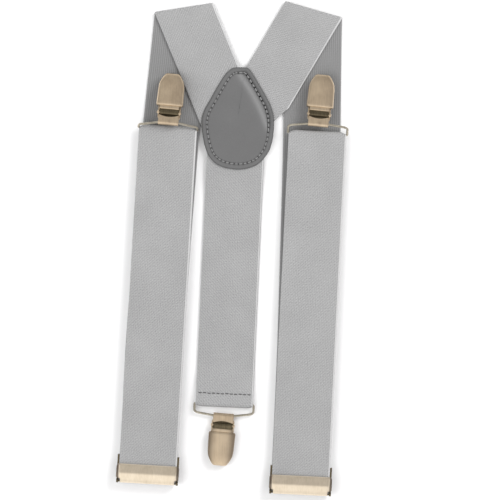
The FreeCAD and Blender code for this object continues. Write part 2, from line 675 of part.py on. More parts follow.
def hem_loop(side):
    """The end of the return ply, turned round the adjuster's bar and sewn to itself."""
    frame = adjuster_place(side) * move(0, dim("bar_along"), dim("bar_up"))
    bore = dim("bar_radius") + dim("end_gap")
    loop = half_tube(frame * turn(Z_AXIS, 180), "bar_radius + end_gap + web_thick",
                     "bar_radius + end_gap", "web_width")
    over = block(frame, "web_width", "sewn_tail", "web_thick", (0, 0, bore))
    corners = (
        ("0", "0 - bar_radius - end_gap - web_thick"),
        ("sewn_tail / 2", "bar_radius + end_gap - web_thick"),
        ("sewn_tail", "bar_radius + end_gap - web_thick"),
        ("sewn_tail", "bar_radius + end_gap"),
        ("sewn_tail / 2", "bar_radius + end_gap"),
        ("0", "0 - bar_radius - end_gap"),
    )
    under = profile(side + "_hem_under", frame, corners, "web_width")
    keep(joined(loop, over, under), side + "_hem_loop")


back_strap()
leather("patch_back", 0.0, dim("back_leather_scale"))
leather("patch_front", dim("leather_thick") + dim("web_thick"), 1.0)
patch_stitching()
back_hem_stitching()
for side in SIDES:
    shoulder_strap(side)
    front_ply(side)
    return_ply(side)
    adjuster_frame(side)
    adjuster_pin(side)
    adjuster_lever(side)
    hem_loop(side)
for side in SIDES + ("back",):
    ring(side)
    clip_base(side)
    clip_pin(side)
    clip_lid(side)
    clip_jaw(side)
    clip_pads(side)

doc.recompute()
for thing in doc.Objects:
    state = [word for word in thing.State if word in ("Invalid", "Error")]
    if state:
        raise RuntimeError(f"{thing.Name} ({thing.Label}) is {state}")
os.makedirs("parts", exist_ok=True)
box = FreeCAD.BoundBox()
for thing in subparts:
    shape = thing.Shape
    if shape.isNull() or not shape.isValid():
        raise RuntimeError(f"{thing.Label} has no valid shape")
    box.add(shape.BoundBox)
    shape.exportStep(f"parts/{thing.Label}.step")
    print(f"{thing.Label}: {len(shape.Solids)} solid(s), {shape.Volume:.1f} mm3")
print(f"box {box}")
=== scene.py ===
# %% [markdown]
# Y-back clip braces in grey elastic webbing, laid out flat and folded as they are sold.
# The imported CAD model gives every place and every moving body.  This lesson builds the looks
# on top of it: woven straps, a stitched leather patch, wire rings and pressed brass clips.
# The frame is loaded first, because each new piece rides on one of its bodies.

# %% Load the frame
import json
import math

import bpy
import numpy as np
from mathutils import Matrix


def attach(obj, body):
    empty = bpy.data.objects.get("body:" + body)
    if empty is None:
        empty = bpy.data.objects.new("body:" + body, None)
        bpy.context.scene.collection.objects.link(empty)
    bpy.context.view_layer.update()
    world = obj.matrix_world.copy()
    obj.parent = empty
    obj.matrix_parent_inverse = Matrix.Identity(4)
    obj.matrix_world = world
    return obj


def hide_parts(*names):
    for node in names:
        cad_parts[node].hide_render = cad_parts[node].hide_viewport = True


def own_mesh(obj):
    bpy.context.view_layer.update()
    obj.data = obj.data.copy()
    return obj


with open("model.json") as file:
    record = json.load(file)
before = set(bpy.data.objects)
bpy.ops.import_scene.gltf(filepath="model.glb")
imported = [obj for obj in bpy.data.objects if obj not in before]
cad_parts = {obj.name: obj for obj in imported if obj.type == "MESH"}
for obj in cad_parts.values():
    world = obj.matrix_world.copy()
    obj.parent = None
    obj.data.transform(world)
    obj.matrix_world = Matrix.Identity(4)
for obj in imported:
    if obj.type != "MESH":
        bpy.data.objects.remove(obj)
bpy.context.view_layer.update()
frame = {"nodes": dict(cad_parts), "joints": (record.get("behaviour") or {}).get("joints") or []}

JOINTS = {joint["name"]: joint for joint in frame["joints"]}
NODES = frame["nodes"]
SIDES = ("left", "right")
CLIPS = ("left", "right", "back")

# %% [markdown]
# Each clip, ring and adjuster has a frame of its own, in which its shape is easy to write
# down.  A frame could be typed in as numbers, but the joints already hold it: a ring turns
# about the run of wire inside the webbing, and a lever about its pin.  So the frames are
# worked out from the joints, and everything stays where the CAD put it.

# %% Local frames from the joints
MM = 0.001  # one millimetre in metres
UP = np.array([0.0, 0.0, 1.0])
PIN_ALONG, PIN_UP = 5.7, 1.8  # lid's pin seen from the ring wire, in mm
LEVER_ALONG = 1.5  # lower edge of an adjuster to its lever's pin, in mm


def joint_point(name):
    """Where a joint is, in mm."""
    return np.array(JOINTS[name]["pos_m"]) / MM


def joint_axis(name):
    """A joint's axis as a unit vector."""
    axis = np.array(JOINTS[name]["axis"], float)
    return axis / np.linalg.norm(axis)


def run_frame(side):
    """Origin on the table under the ring's run, X along the run, Y up the ply, Z up."""
    x = joint_axis(side + "_ring_swing")
    return joint_point(side + "_ring_swing") * (1, 1, 0), x, np.cross(UP, x), UP


def ring_frame(side):
    """Origin on the ring's run, Y to the run that holds the clip."""
    origin = joint_point(side + "_ring_swing")
    reach = joint_point(side + "_clip_swing") - origin
    x = joint_axis(side + "_ring_swing")
    y = reach / np.linalg.norm(reach)
    return origin, x, y, np.cross(x, y)


def clip_frame(side):
    """Origin on the ring wire, Y to the clip's tip.

    The pin lies at a along Y and b along Z, so Y = (aP - b X x P) / (a^2 + b^2).
    """
    origin = joint_point(side + "_clip_swing")
    x = joint_axis(side + "_lid_flip")
    pin = joint_point(side + "_lid_flip") - origin
    size = PIN_ALONG ** 2 + PIN_UP ** 2
    y = (PIN_ALONG * pin - PIN_UP * np.cross(x, pin)) / size
    y = y / np.linalg.norm(y)
    return origin, x, y, np.cross(x, y)


def adjuster_frame(side):
    """Origin on the table under the adjuster's lower edge, Y up the ply."""
    _, x, y, z = run_frame(side)
    pin = joint_point(side + "_lever_flip")
    return pin * (1, 1, 0) - LEVER_ALONG * y, x, y, z


def placed(points, local):
    """Points of a local frame in the object's frame: origin + a X + b Y + c Z."""
    origin, x, y, z = local
    return origin + points[..., 0:1] * x + points[..., 1:2] * y + points[..., 2:3] * z


RUNS = {side: run_frame(side) for side in CLIPS}
RUN_LENGTH = {}
for side in SIDES:
    RUN_LENGTH[side] = float(np.dot(RUNS[side][0] - adjuster_frame(side)[0], RUNS[side][2]))
print("run of the front plies", RUN_LENGTH)

# %% [markdown]
# The picture is taken straight down onto the table.  A long lens from far off keeps the
# straps parallel, as a short lens close by would not.

# %% Camera
LENS, SENSOR = 200.0, 36.0  # mm
VIEW_WIDTH = 309.75  # mm of table across the picture
VIEW_CENTRE = (10.7, -0.8)  # mm
CAMERA_HEIGHT = VIEW_WIDTH * LENS / SENSOR * MM

camera = bpy.data.objects.new("camera", bpy.data.cameras.new("camera"))
camera.data.lens = LENS
camera.data.sensor_width = SENSOR
camera.data.clip_end = 20.0
camera.location = (VIEW_CENTRE[0] * MM, VIEW_CENTRE[1] * MM, CAMERA_HEIGHT)
bpy.context.scene.collection.objects.link(camera)
bpy.context.scene.camera = camera
bpy.context.scene.view_settings.view_transform = "Standard"
print(f"camera {CAMERA_HEIGHT:.3f} m above the table")

# %% [markdown]
# Materials are node trees.  A few small helpers keep them readable: one adds a node and
# fills its sockets, and one makes even bands at a given pitch, which is what a woven or
# brushed surface is made of.

# %% Node helpers


def new_material(name):
    """An empty material with its output and Principled shader joined."""
    material = bpy.data.materials.new(name)
    material.use_nodes = True
    tree = material.node_tree
    return material, tree, tree.nodes["Principled BSDF"]


def node(tree, kind, inputs=None, **settings):
    """Adds a node; `inputs` holds numbers, colours or sockets by name or index."""
    made = tree.nodes.new("ShaderNode" + kind)
    for key, value in settings.items():
        setattr(made, key, value)
    for key, value in (inputs or {}).items():
        if isinstance(value, bpy.types.NodeSocket):
            tree.links.new(value, made.inputs[key])
        else:
            made.inputs[key].default_value = value
    return made


def sums(tree, operation, first, second=0.0, third=None, clamp=False):
    """One Math node's result."""
    values = {0: first, 1: second}
    if third is not None:
        values[2] = third
    return node(tree, "Math", values, operation=operation, use_clamp=clamp).outputs[0]


def blend(tree, share, low, high):
    """A colour between two colours."""
    made = node(tree, "Mix", {0: share, 6: low, 7: high}, data_type="RGBA")
    return made.outputs[2]


def bands(tree, vector, direction, pitch, wobble=0.0):
    """Sine bands from 0 to 1; a wave texture repeats every 0.314 along X or Y."""
    period = 0.62832 if direction == "DIAGONAL" else 0.31416
    made = node(tree, "TexWave", {"Vector": vector, "Scale": period / pitch,
                                  "Distortion": wobble, "Detail": 1.0, "Detail Scale": 2.0},
                bands_direction=direction)
    return made.outputs["Fac"]


def noise(tree, vector, scale, detail=3.0, roughness=0.55):
    """Cloudy noise from 0 to 1."""
    made = node(tree, "TexNoise", {"Vector": vector, "Scale": scale, "Detail": detail,
                                   "Roughness": roughness})
    return made.outputs["Fac"]


def bump(tree, shader, height, distance, strength=1.0):
    """Bends the shader's normal as if the height stood that far off the surface."""
    made = node(tree, "Bump", {"Height": height, "Distance": distance, "Strength": strength})
    tree.links.new(made.outputs["Normal"], shader.inputs["Normal"])


def grey(level, warm=0.0):
    """A grey, a little redder than blue where `warm` is positive."""
    return (level * (1 + warm), level, level * (1 - warm), 1.0)


print("node helpers ready")

# %% [markdown]
# Elastic webbing has a face of fine slanting ribs and a plainer reverse with ribs along the
# strap.  An image could carry that, but bands on the strap's own UV map follow every fold
# and never blur.  The UV map is in millimetres: U runs across, and the underside starts at
# 100, so one number tells the two sides apart.  Both woven edges are paler, and the edge at
# U = 0 also carries a painted highlight.

# %% Webbing
WEB_WIDTH = 35.0
REVERSE_START = 100.0
TWILL_PITCH = 1.9  # along U + V, so 1.3 mm square to the ribs
REVERSE_PITCH = 1.25
# Widths of the pale edges in mm; the band at U = 0 also holds a painted highlight.
HIGHLIGHT_SELVEDGE, FAR_SELVEDGE = 0.6, 0.45
FACE_DARK, FACE_LIGHT = 0.185, 0.475
REVERSE_DARK, REVERSE_LIGHT = 0.165, 0.275


def webbing_material():
    """Ribbed face, lengthwise ribs behind, paler woven edges with a painted highlight along the
    edge at U = 0, and a soft fuzz.
    """
    material, tree, shader = new_material("webbing")
    cloth = node(tree, "TexCoord").outputs["UV"]
    across = node(tree, "SeparateXYZ", {0: cloth}).outputs["X"]
    reverse = sums(tree, "GREATER_THAN", across, REVERSE_START / 2)
    slanting = node(tree, "Mapping", {"Vector": cloth, "Scale": (1.0, -1.0, 1.0)}).outputs[0]
    twill = bands(tree, slanting, "DIAGONAL", TWILL_PITCH, 0.8)
    weft = bands(tree, cloth, "Y", 0.95, 0.6)
    warp = bands(tree, cloth, "X", 1.05, 0.5)
    yarn = noise(tree, cloth, 1.5, 2.0, 0.7)
    yarn = node(tree, "MapRange", {"Value": yarn, "From Min": 0.3, "From Max": 0.7}).outputs[0]
    face = sums(tree, "MULTIPLY_ADD", twill, 0.19, sums(tree, "MULTIPLY", weft, 0.16))
    face = sums(tree, "MULTIPLY_ADD", warp, 0.16, face)
    face = sums(tree, "MULTIPLY_ADD", yarn, 0.49, face)
    ribs = bands(tree, cloth, "X", REVERSE_PITCH, 0.4)
    back = sums(tree, "MULTIPLY_ADD", ribs, 0.6, sums(tree, "MULTIPLY", weft, 0.15))
    back = sums(tree, "MULTIPLY_ADD", yarn, 0.25, back)
    weave = node(tree, "Mix", {0: reverse, 2: face, 3: back}, data_type="FLOAT").outputs[0]
    face_colour = blend(tree, face, grey(FACE_DARK), grey(FACE_LIGHT))
    back_colour = blend(tree, back, grey(REVERSE_DARK), grey(REVERSE_LIGHT))
    colour = blend(tree, reverse, face_colour, back_colour)
    # The band at U = 0 is lightened strongly: a painted highlight on the edge that faces the key
    # light, over a paler selvedge.  The far edge is only a paler selvedge.
    lit_edge_band = sums(tree, "LESS_THAN", across, HIGHLIGHT_SELVEDGE)
    far_edge = sums(tree, "COMPARE", across, WEB_WIDTH, FAR_SELVEDGE)
    colour = blend(tree, sums(tree, "MULTIPLY", lit_edge_band, 0.6), colour, grey(0.66))
    colour = blend(tree, sums(tree, "MULTIPLY", far_edge, 0.2), colour, grey(0.5))
    place = node(tree, "TexCoord").outputs["Object"]
    cloud = noise(tree, place, 45.0, 4.0)
    fuzz = noise(tree, place, 2600.0, 2.0)
    shade = sums(tree, "MULTIPLY_ADD", cloud, 0.24, 0.88)
    shade = sums(tree, "MULTIPLY", shade, sums(tree, "MULTIPLY_ADD", fuzz, 0.16, 0.92))
    colour = node(tree, "Mix", {0: 1.0, 6: colour, 7: shade},
                  data_type="RGBA", blend_type="MULTIPLY").outputs[2]
    tree.links.new(colour, shader.inputs["Base Color"])
    shader.inputs["Roughness"].default_value = 0.85
    shader.inputs["Sheen Weight"].default_value = 0.12
    shader.inputs["Sheen Roughness"].default_value = 0.5
    bump(tree, shader, sums(tree, "MULTIPLY_ADD", fuzz, 0.25, weave), 0.00016, 0.8)
    return material


WEBBING = webbing_material()
print("material", WEBBING.name)

# %% [markdown]
# The patch is grey leather with a low sheen.  Its grain is a fine cell pattern in the bump,
# and three values stored on the mesh darken the cut edge, paint shade into the needle holes
# and paint a highlight along the ridge over the strap's edge.

# %% Leather and thread


def leather_material():
    """Fine pebbled grain, soft clouding, a dark cut edge and painted shade in the needle holes.

    A painted highlight lies along the ridge where the leather is stretched over the edge of the
    strap beneath.
    """
    material, tree, shader = new_material("leather")
    place = node(tree, "TexCoord").outputs["Object"]
    cells = node(tree, "TexVoronoi", {"Vector": place, "Scale": 1500.0}).outputs["Distance"]
    creases = noise(tree, place, 900.0, 5.0)
    cloud = noise(tree, place, 60.0, 3.0)
    colour = blend(tree, cloud, grey(0.110), grey(0.138))
    colour = blend(tree, sums(tree, "MULTIPLY", cells, 0.3, clamp=True), colour, grey(0.16))
    # Painted highlight along the ridge over the edge of the strap beneath.
    ridge_highlight = node(tree, "Attribute", attribute_name="ridge_highlight").outputs["Fac"]
    colour = blend(tree, sums(tree, "MULTIPLY", ridge_highlight, 0.85), colour, grey(0.24))
    edge = node(tree, "Attribute", attribute_name="edge").outputs["Fac"]
    colour = blend(tree, sums(tree, "MULTIPLY", edge, 0.75), colour, grey(0.07))
    # Painted shade in the needle holes.
    hole_pit_and_shade = node(tree, "Attribute", attribute_name="hole_pit_and_shade").outputs["Fac"]
    colour = blend(tree, sums(tree, "MULTIPLY", hole_pit_and_shade, 0.95), colour, grey(0.015))
    tree.links.new(colour, shader.inputs["Base Color"])
    rough = sums(tree, "MULTIPLY_ADD", creases, 0.2, 0.4)
    tree.links.new(rough, shader.inputs["Roughness"])
    shader.inputs["Specular IOR Level"].default_value = 0.45
    grain = sums(tree, "MULTIPLY_ADD", creases, 0.6, cells)
    bump(tree, shader, grain, 0.00009, 0.6)
    return material


def thread_material(name, level):
    """Twisted sewing thread: slanting bands on its own UV map."""
    material, tree, shader = new_material(name)
    cloth = node(tree, "TexCoord").outputs["UV"]
    twist = bands(tree, cloth, "DIAGONAL", 0.35)
    colour = blend(tree, twist, grey(level * 0.72), grey(level * 1.15))
    tree.links.new(colour, shader.inputs["Base Color"])
    shader.inputs["Roughness"].default_value = 0.6
    bump(tree, shader, twist, 0.00005, 0.6)
    return material


LEATHER = leather_material()
# The patch thread is paler than the leather, partly its own colour and partly a painted highlight.
LIT_PATCH_THREAD = thread_material("patch_thread", 0.31)
HEM_THREAD = thread_material("hem_thread", 0.07)
print("materials", LEATHER.name, LIT_PATCH_THREAD.name, HEM_THREAD.name)

# %% [markdown]
# Clips, levers and frames are steel, plated in antique brass and brushed along their length.
# Noise stretched along Y gives the brushing, and slow clouds of darker lacquer keep the
# plating from looking new.  The levers take a paler copy of the brass as a painted highlight,
# the jaws a darker copy as painted shade, and the rings are greyer; pads of rubber grip the cloth.

# %% Metals and rubber
BRUSHING = (1400.0, 60.0, 1400.0)  # streaks per metre: fine across, long along Y
# Colour of the painted dark reflection on the levers' ends and the lids' sides.
PAINTED_DARK_REFLECTION = (0.10, 0.075, 0.06, 1.0)


def metal_material(name, light, dark, roughness):
    """Brushed plating: streaks in colour, roughness and bump, tarnish, and a painted dark
    reflection.

    The painted dark reflection follows the value "edge" stored on a piece, where it has one.
    """
    material, tree, shader = new_material(name)
    place = node(tree, "TexCoord").outputs["Object"]
    along = node(tree, "Mapping", {"Vector": place, "Scale": BRUSHING}).outputs[0]
    streaks = noise(tree, along, 1.0, 3.0)
    tarnish = noise(tree, place, 120.0, 4.0)
    mixed = sums(tree, "MULTIPLY_ADD", streaks, 0.45, sums(tree, "MULTIPLY", tarnish, 0.55))
    share = node(tree, "MapRange", {"Value": mixed, "From Min": 0.25, "From Max": 0.6})
    colour = blend(tree, share.outputs[0], (*dark, 1.0), (*light, 1.0))
    edge = node(tree, "Attribute", attribute_name="edge").outputs["Fac"]
    # Painted dark reflection, as strong as the piece's stored edge value.
    colour = blend(tree, edge, colour, PAINTED_DARK_REFLECTION)
    tree.links.new(colour, shader.inputs["Base Color"])
    shader.inputs["Metallic"].default_value = 1.0
    rough = sums(tree, "MULTIPLY_ADD", streaks, 0.12, roughness - 0.06)
    tree.links.new(rough, shader.inputs["Roughness"])
    bump(tree, shader, streaks, 0.00002, 0.5)
    return material


def rubber_material():
    """Dark grip pads with a fine speckle."""
    material, tree, shader = new_material("grip_pad")
    place = node(tree, "TexCoord").outputs["Object"]
    speckle = noise(tree, place, 1800.0, 3.0)
    tree.links.new(blend(tree, speckle, grey(0.025), grey(0.06)), shader.inputs["Base Color"])
    shader.inputs["Roughness"].default_value = 0.7
    bump(tree, shader, speckle, 0.00005, 0.6)
    return material


BRASS = metal_material("antique_brass", (0.74, 0.60, 0.43), (0.55, 0.43, 0.30), 0.34)
# The levers take a lit copy of the brass: a painted highlight.
LIT_BRASS = metal_material("brass_painted_highlight", (0.94, 0.82, 0.65), (0.76, 0.65, 0.49), 0.32)
# Jaws, lid barrels, adjuster frames and pins take a shaded copy of the brass: painted shade.
SHADED_BRASS = metal_material("brass_painted_shade", (0.20, 0.165, 0.105), (0.07, 0.055, 0.035), 0.42)
WIRE = metal_material("ring_wire", (0.60, 0.55, 0.45), (0.32, 0.29, 0.23), 0.34)
RUBBER = rubber_material()
print("materials", BRASS.name, LIT_BRASS.name, SHADED_BRASS.name, WIRE.name, RUBBER.name)

# %% [markdown]
# Straps and pressed sheet metal are the same kind of shape: a thin strip round a middle
# surface.  Blender's Solidify could thicken a plane, but a strip worked out here has rounded
# edges and closed ends from the start, and a UV map in millimetres that tells face from
# reverse.

# %% A strip round a middle surface
EDGE_U = 0.1  # the rounded edges read the pattern this far in from the selvedge, mm


def unit(vectors):
    """Vectors scaled to length one."""
    return vectors / np.linalg.norm(vectors, axis=-1, keepdims=True)


def strip(middle, thickness, bulge=0.5, cloth=None, arc=3):
    """Points, faces and corner UVs of a closed strip.

    `middle` is a grid of points, rows along and columns across.  The normal is the cross
    product of the step across and the step along.  Each row's loop runs over the top at
    +thickness/2, round one edge on half an ellipse that stands out by bulge * thickness,
    back underneath and round the other edge.  `cloth` holds U and V grids in mm.
    """
    rows, columns = middle.shape[:2]
    across = unit(np.gradient(middle, axis=1))
    along = unit(np.gradient(middle, axis=0))
    normal = unit(np.cross(across, along))
    half = thickness / 2
    turn = np.pi * np.arange(1, arc + 1) / (arc + 1)
    rise = np.cos(turn)[None, :, None] * half
    out = np.sin(turn)[None, :, None] * thickness * bulge
    right = middle[:, -1:] + across[:, -1:] * out + normal[:, -1:] * rise
    left = middle[:, :1] - across[:, :1] * out - normal[:, :1] * rise
    loop = np.concatenate([middle + normal * half, right, (middle - normal * half)[:, ::-1], left],
                          axis=1)
    count = loop.shape[1]
    index = np.arange(rows * count).reshape(rows, count)
    nxt = np.roll(index, -1, axis=1)
    sides = np.stack([index[:-1], nxt[:-1], nxt[1:], index[1:]], axis=-1).reshape(-1, 4)
    top = np.arange(columns)
    low = 2 * columns + arc - 1 - top
    end = np.stack([top[:-1], top[1:], low[1:], low[:-1]], axis=-1)
    right_cap = np.arange(columns - 1, columns + arc + 1)
    left_cap = np.append(np.arange(2 * columns + arc - 1, count), 0)
    faces = sides.tolist()
    shift = (rows - 1) * count
    faces += (end + shift).tolist() + end[:, ::-1].tolist()
    faces += [(right_cap + shift).tolist(), (left_cap + shift).tolist()]
    faces += [right_cap[::-1].tolist(), left_cap[::-1].tolist()]
    if cloth is None:
        step = np.linalg.norm(np.diff(middle[:, columns // 2], axis=0), axis=1)
        v_grid = np.repeat(np.append(0.0, np.cumsum(step))[:, None], columns, axis=1)
        span = np.linalg.norm(np.diff(middle, axis=1), axis=2)
        u_grid = np.concatenate([np.zeros((rows, 1)), np.cumsum(span, axis=1)], axis=1)
    else:
        u_grid, v_grid = cloth
    wide = float(u_grid.max())
    near_side = np.full((rows, arc + 1), EDGE_U)
    far_side = wide - near_side
    first_u = np.concatenate([u_grid[:, :-1], far_side, REVERSE_START + u_grid[:, :0:-1],
                              near_side], axis=1)
    next_u = np.concatenate([u_grid[:, 1:], far_side, REVERSE_START + u_grid[:, -2::-1],
                             near_side], axis=1)
    columns_v = np.concatenate([v_grid, np.repeat(v_grid[:, -1:], arc, axis=1),
                                v_grid[:, ::-1], np.repeat(v_grid[:, :1], arc, axis=1)], axis=1)
    next_v = np.roll(columns_v, -1, axis=1)
    corner_u = np.stack([first_u[:-1], next_u[:-1], next_u[1:], first_u[1:]], axis=-1)
    corner_v = np.stack([columns_v[:-1], next_v[:-1], next_v[1:], columns_v[1:]], axis=-1)
    uv = np.stack([corner_u.ravel(), corner_v.ravel()], axis=1)
    corners = sum(len(face) for face in faces)
    cap_uv = np.zeros((corners - len(uv), 2)) + (REVERSE_START + wide / 2, 0.0)
    return loop.reshape(-1, 3), faces, np.concatenate([uv, cap_uv])


print("strip ready")

# %% [markdown]
# Wire, pins and threads are tubes along a path.  Curve objects with a bevel would do it, but
# meshes from the same arithmetic keep one way of working and can swell or taper as needed.

# %% Tubes
THREAD_U = 0.12  # step of the pattern from one side of a tube to the next, mm


def tube(path, radius, closed=False, sides=12):
    """A round tube: each point of the path carries a circle square to the path.

    The circle's first direction is the path's tangent crossed with a fixed reference, and
    the second completes the frame.  `radius` is a number or one radius for each point.
    """
    count = len(path)
    if closed:
        tangent = unit(np.roll(path, -1, axis=0) - np.roll(path, 1, axis=0))
    else:
        tangent = unit(np.gradient(path, axis=0))
    spread = np.ptp(path, axis=0)
    reference = np.eye(3)[int(np.argmin(spread))]
    first = unit(np.cross(tangent, reference))
    second = np.cross(tangent, first)
    angle = 2 * np.pi * np.arange(sides) / sides
    size = np.broadcast_to(np.asarray(radius, float), (count,))[:, None, None]
    circle = first[:, None] * np.cos(angle)[None, :, None]
    circle = circle + second[:, None] * np.sin(angle)[None, :, None]
    points = path[:, None] + circle * size
    index = np.arange(count * sides).reshape(count, sides)
    nxt = np.roll(index, -1, axis=1)
    if closed:
        after, after_next = np.roll(index, -1, axis=0), np.roll(nxt, -1, axis=0)
    else:
        index, nxt = index[:-1], nxt[:-1]
        whole = np.arange(count * sides).reshape(count, sides)
        after, after_next = whole[1:], np.roll(whole, -1, axis=1)[1:]
    faces = np.stack([index, nxt, after_next, after], axis=-1).reshape(-1, 4).tolist()
    if not closed:
        faces += [list(range(sides))[::-1], list(range((count - 1) * sides, count * sides))]
    length = np.append(0.0, np.cumsum(np.linalg.norm(np.diff(path, axis=0), axis=1)))
    uv = []
    for face in faces:
        ring = np.array(face) // sides
        spot = np.array(face) % sides
        uv.append(np.stack([spot * THREAD_U, length[ring]], axis=1))
    return points.reshape(-1, 3), faces, np.concatenate(uv)


print("tubes ready")

# %% Plates and turned shapes


def layered(rings):
    """A closed solid from loops of equal length, capped by its first and last loop."""
    count, sides = rings.shape[:2]
    index = np.arange(count * sides).reshape(count, sides)
    nxt = np.roll(index, -1, axis=1)
    faces = np.stack([index[:-1], nxt[:-1], nxt[1:], index[1:]], axis=-1).reshape(-1, 4).tolist()
    faces += [index[0][::-1].tolist(), index[-1].tolist()]
    corners = sum(len(face) for face in faces)
    return rings.reshape(-1, 3), faces, np.zeros((corners, 2))


def inset(outline, distance):
    """A counter-clockwise outline moved inwards by a distance, square to its own line."""
    tangent = unit(np.roll(outline, -1, axis=0) - np.roll(outline, 1, axis=0))
    return outline + np.stack([-tangent[:, 1], tangent[:, 0]], axis=1) * distance


def plate(outline, low, high, bevel, axes=(0, 1, 2)):
    """An outline extruded from low to high, with its rims cut back by the bevel.

    `axes` says which local axes the outline's two numbers and the height belong to.
    """
    rings = []
    for back, height in ((bevel, low), (0, low + bevel), (0, high - bevel), (bevel, high)):
        flat = inset(outline, back)
        ring = np.empty((len(flat), 3))
        ring[:, axes[0]] = flat[:, 0]
        ring[:, axes[1]] = flat[:, 1]
        ring[:, axes[2]] = height
        rings.append(ring)
    return layered(np.array(rings))


def turned(profile, centre, sides=24):
    """A profile of (along X, radius) pairs spun about an axis along X."""
    angle = 2 * np.pi * np.arange(sides) / sides
    along = np.repeat(profile[:, 0:1], sides, axis=1)
    rings = np.stack([along, profile[:, 1:2] * np.cos(angle), profile[:, 1:2] * np.sin(angle)],
                     axis=-1)
    return layered(rings + np.array([0.0, centre[0], centre[1]]))


def merged(*shapes):
    """Several shapes as one."""
    points, faces, uvs = [], [], []
    base = 0
    for shape_points, shape_faces, shape_uv in shapes:
        points.append(shape_points)
        faces += [[corner + base for corner in face] for face in shape_faces]
        uvs.append(shape_uv)
        base += len(shape_points)
    return np.concatenate(points), faces, np.concatenate(uvs)


print("plates and turned shapes ready")

# %% Pieces that ride on a body


def add_piece(name, shape, local, body, material, values=None, sharp=35.0):
    """Puts a shape into a mesh object that rides on a body."""
    points, faces, uv = shape
    if local is not None:
        points = placed(points, local)
    mesh = bpy.data.meshes.new(name)
    mesh.from_pydata((points * MM).tolist(), [], faces)
    mesh.uv_layers.new(name="UVMap").data.foreach_set("uv", uv.astype(np.float32).ravel())
    for key, numbers in (values or {}).items():
        layer = mesh.attributes.new(key, "FLOAT", "POINT")
        layer.data.foreach_set("value", numbers.astype(np.float32).ravel())
    mesh.shade_smooth()
    mesh.set_sharp_from_angle(angle=math.radians(sharp))
    mesh.materials.append(material)
    mesh.update()
    piece = bpy.data.objects.new(name, mesh)
    bpy.context.scene.collection.objects.link(piece)
    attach(piece, body)
    print(f"{name}: {len(points)} points, {len(faces)} faces")
    return piece


print("pieces ready")

# %% [markdown]
# A shoulder strap is one length of webbing that is folded three times: round the ring, at
# the bottom, and slantwise at the top.  Three flat pieces would leave seams.  Instead the
# whole strap is rolled up from flat cloth: every point of the cloth knows how far it is past
# each fold line, and wraps round that fold by that distance over its radius.  The cloth
# keeps its length, and the slanting top fold comes out right by itself.

# %% Folded straps
WEB_THICK = 1.2
TOP_FOLD = {"left": (-30.5, 148.0), "right": (50.3, 146.8)}
SLANT = {"left": 22.3, "right": -30.5}  # degrees from Y, between top fold and patch
BOTTOM_FOLD_AT = 4.0  # adjuster's lower edge to the axis of the bottom fold
BOTTOM_RADIUS = 2.8
TOP_RADIUS = 0.8
LOOP_RADIUS = 1.4  # middle of the cloth round a ring's wire
STUB = 6.0  # webbing behind the ring before its loop starts
FRONT_LEVEL = 6.2  # middle of the front ply above the table


def heading(degrees):
    """A level unit vector at that many degrees from X."""
    angle = math.radians(degrees)
    return np.array([math.cos(angle), math.sin(angle), 0.0])


def fold_chain(start, folds, u, v):
    """Points of a cloth that is folded several times.

    `start` is (point, X, Y, N) of the flat cloth at u = v = 0.  A fold is (v, slant,
    radius): its line crosses the middle of the cloth at v and is turned by the slant.  A
    point at distance d past the line has turned by t = d / radius, at most half a turn,
    about an axis one radius behind the cloth.  Its place is the axis point, plus radius
    along the turned normal, plus the rest of d along the turned direction.
    """
    origin, x, y, n = start
    points = origin + u[..., None] * x + v[..., None] * y
    for at, slant, radius in folds:
        c, s = math.cos(slant), math.sin(slant)
        line = origin + at * y
        fold_x, fold_y = c * x + s * y, c * y - s * x
        past = (v - at) * c - u * s
        beside = (v - at) * s + u * c
        turn = np.clip(past / radius, 0.0, np.pi)[..., None]
        rest = (past - radius * turn[..., 0])[..., None]
        new_n = n * np.cos(turn) + fold_y * np.sin(turn)
        new_y = fold_y * np.cos(turn) - n * np.sin(turn)
        wrapped = line - radius * n + beside[..., None] * fold_x + radius * new_n + rest * new_y
        points = np.where(past[..., None] > 0, wrapped, points)
        flat_y, flat_n = -fold_y, -n
        new_x = c * fold_x - s * flat_y
        forward = c * flat_y + s * fold_x
        gone = np.pi * radius
        origin = line - 2 * radius * n - gone * flat_y - at * forward
        x, y, n = new_x, forward, flat_n
    return points


print("fold chain ready")

# %% Shoulder straps


def signed_angle(start, end, about):
    """Angle in radians that turns one unit vector into another about a normal."""
    return math.atan2(float(np.dot(about, np.cross(start, end))), float(np.dot(start, end)))


def strap_folds(side):
    """The three folds of a shoulder strap, where it ends up, and which way it then runs."""
    origin, x, y, _ = RUNS[side]
    top = np.array([*TOP_FOLD[side], 0.0])
    bottom = origin - (RUN_LENGTH[side] - BOTTOM_FOLD_AT) * y
    rear = unit(top - bottom)
    upper = heading(SLANT[side] - 90.0)
    low_slant = signed_angle(y, rear, UP) / 2
    top_slant = signed_angle(-rear, upper, -UP) / 2
    first = STUB
    second = first + np.pi * LOOP_RADIUS + RUN_LENGTH[side] - BOTTOM_FOLD_AT
    third = second + np.pi * BOTTOM_RADIUS + np.linalg.norm(top - bottom)
    folds = [(first, 0.0, LOOP_RADIUS), (second, low_slant, BOTTOM_RADIUS),
             (third, top_slant, TOP_RADIUS)]
    return folds, top, upper


for side in SIDES:
    places = [round(float(at), 1) for at, _, _ in strap_folds(side)[0]]
    print(side, "folds at", places, "mm along the strap")

# %% [markdown]
# Inside the patch the two shoulder straps are cut so that their edges meet along a seam, and
# the right strap's outer corner is tucked under.  A boolean would leave ragged triangles at
# such a cut.  Here each line of the cloth ends where it meets the seam, the cut or the tuck,
# so the weave and the rounded edge go on to the very end.

# %% Ends of the straps inside the patch
STRAP_END_Y = 61.1
SEAM_GAP = 0.15
TUCK_POINT, TUCK_HEADING = (28.4, 79.1), 40.0  # rounded corner of the right strap
TUCK_ROUND = 1.2


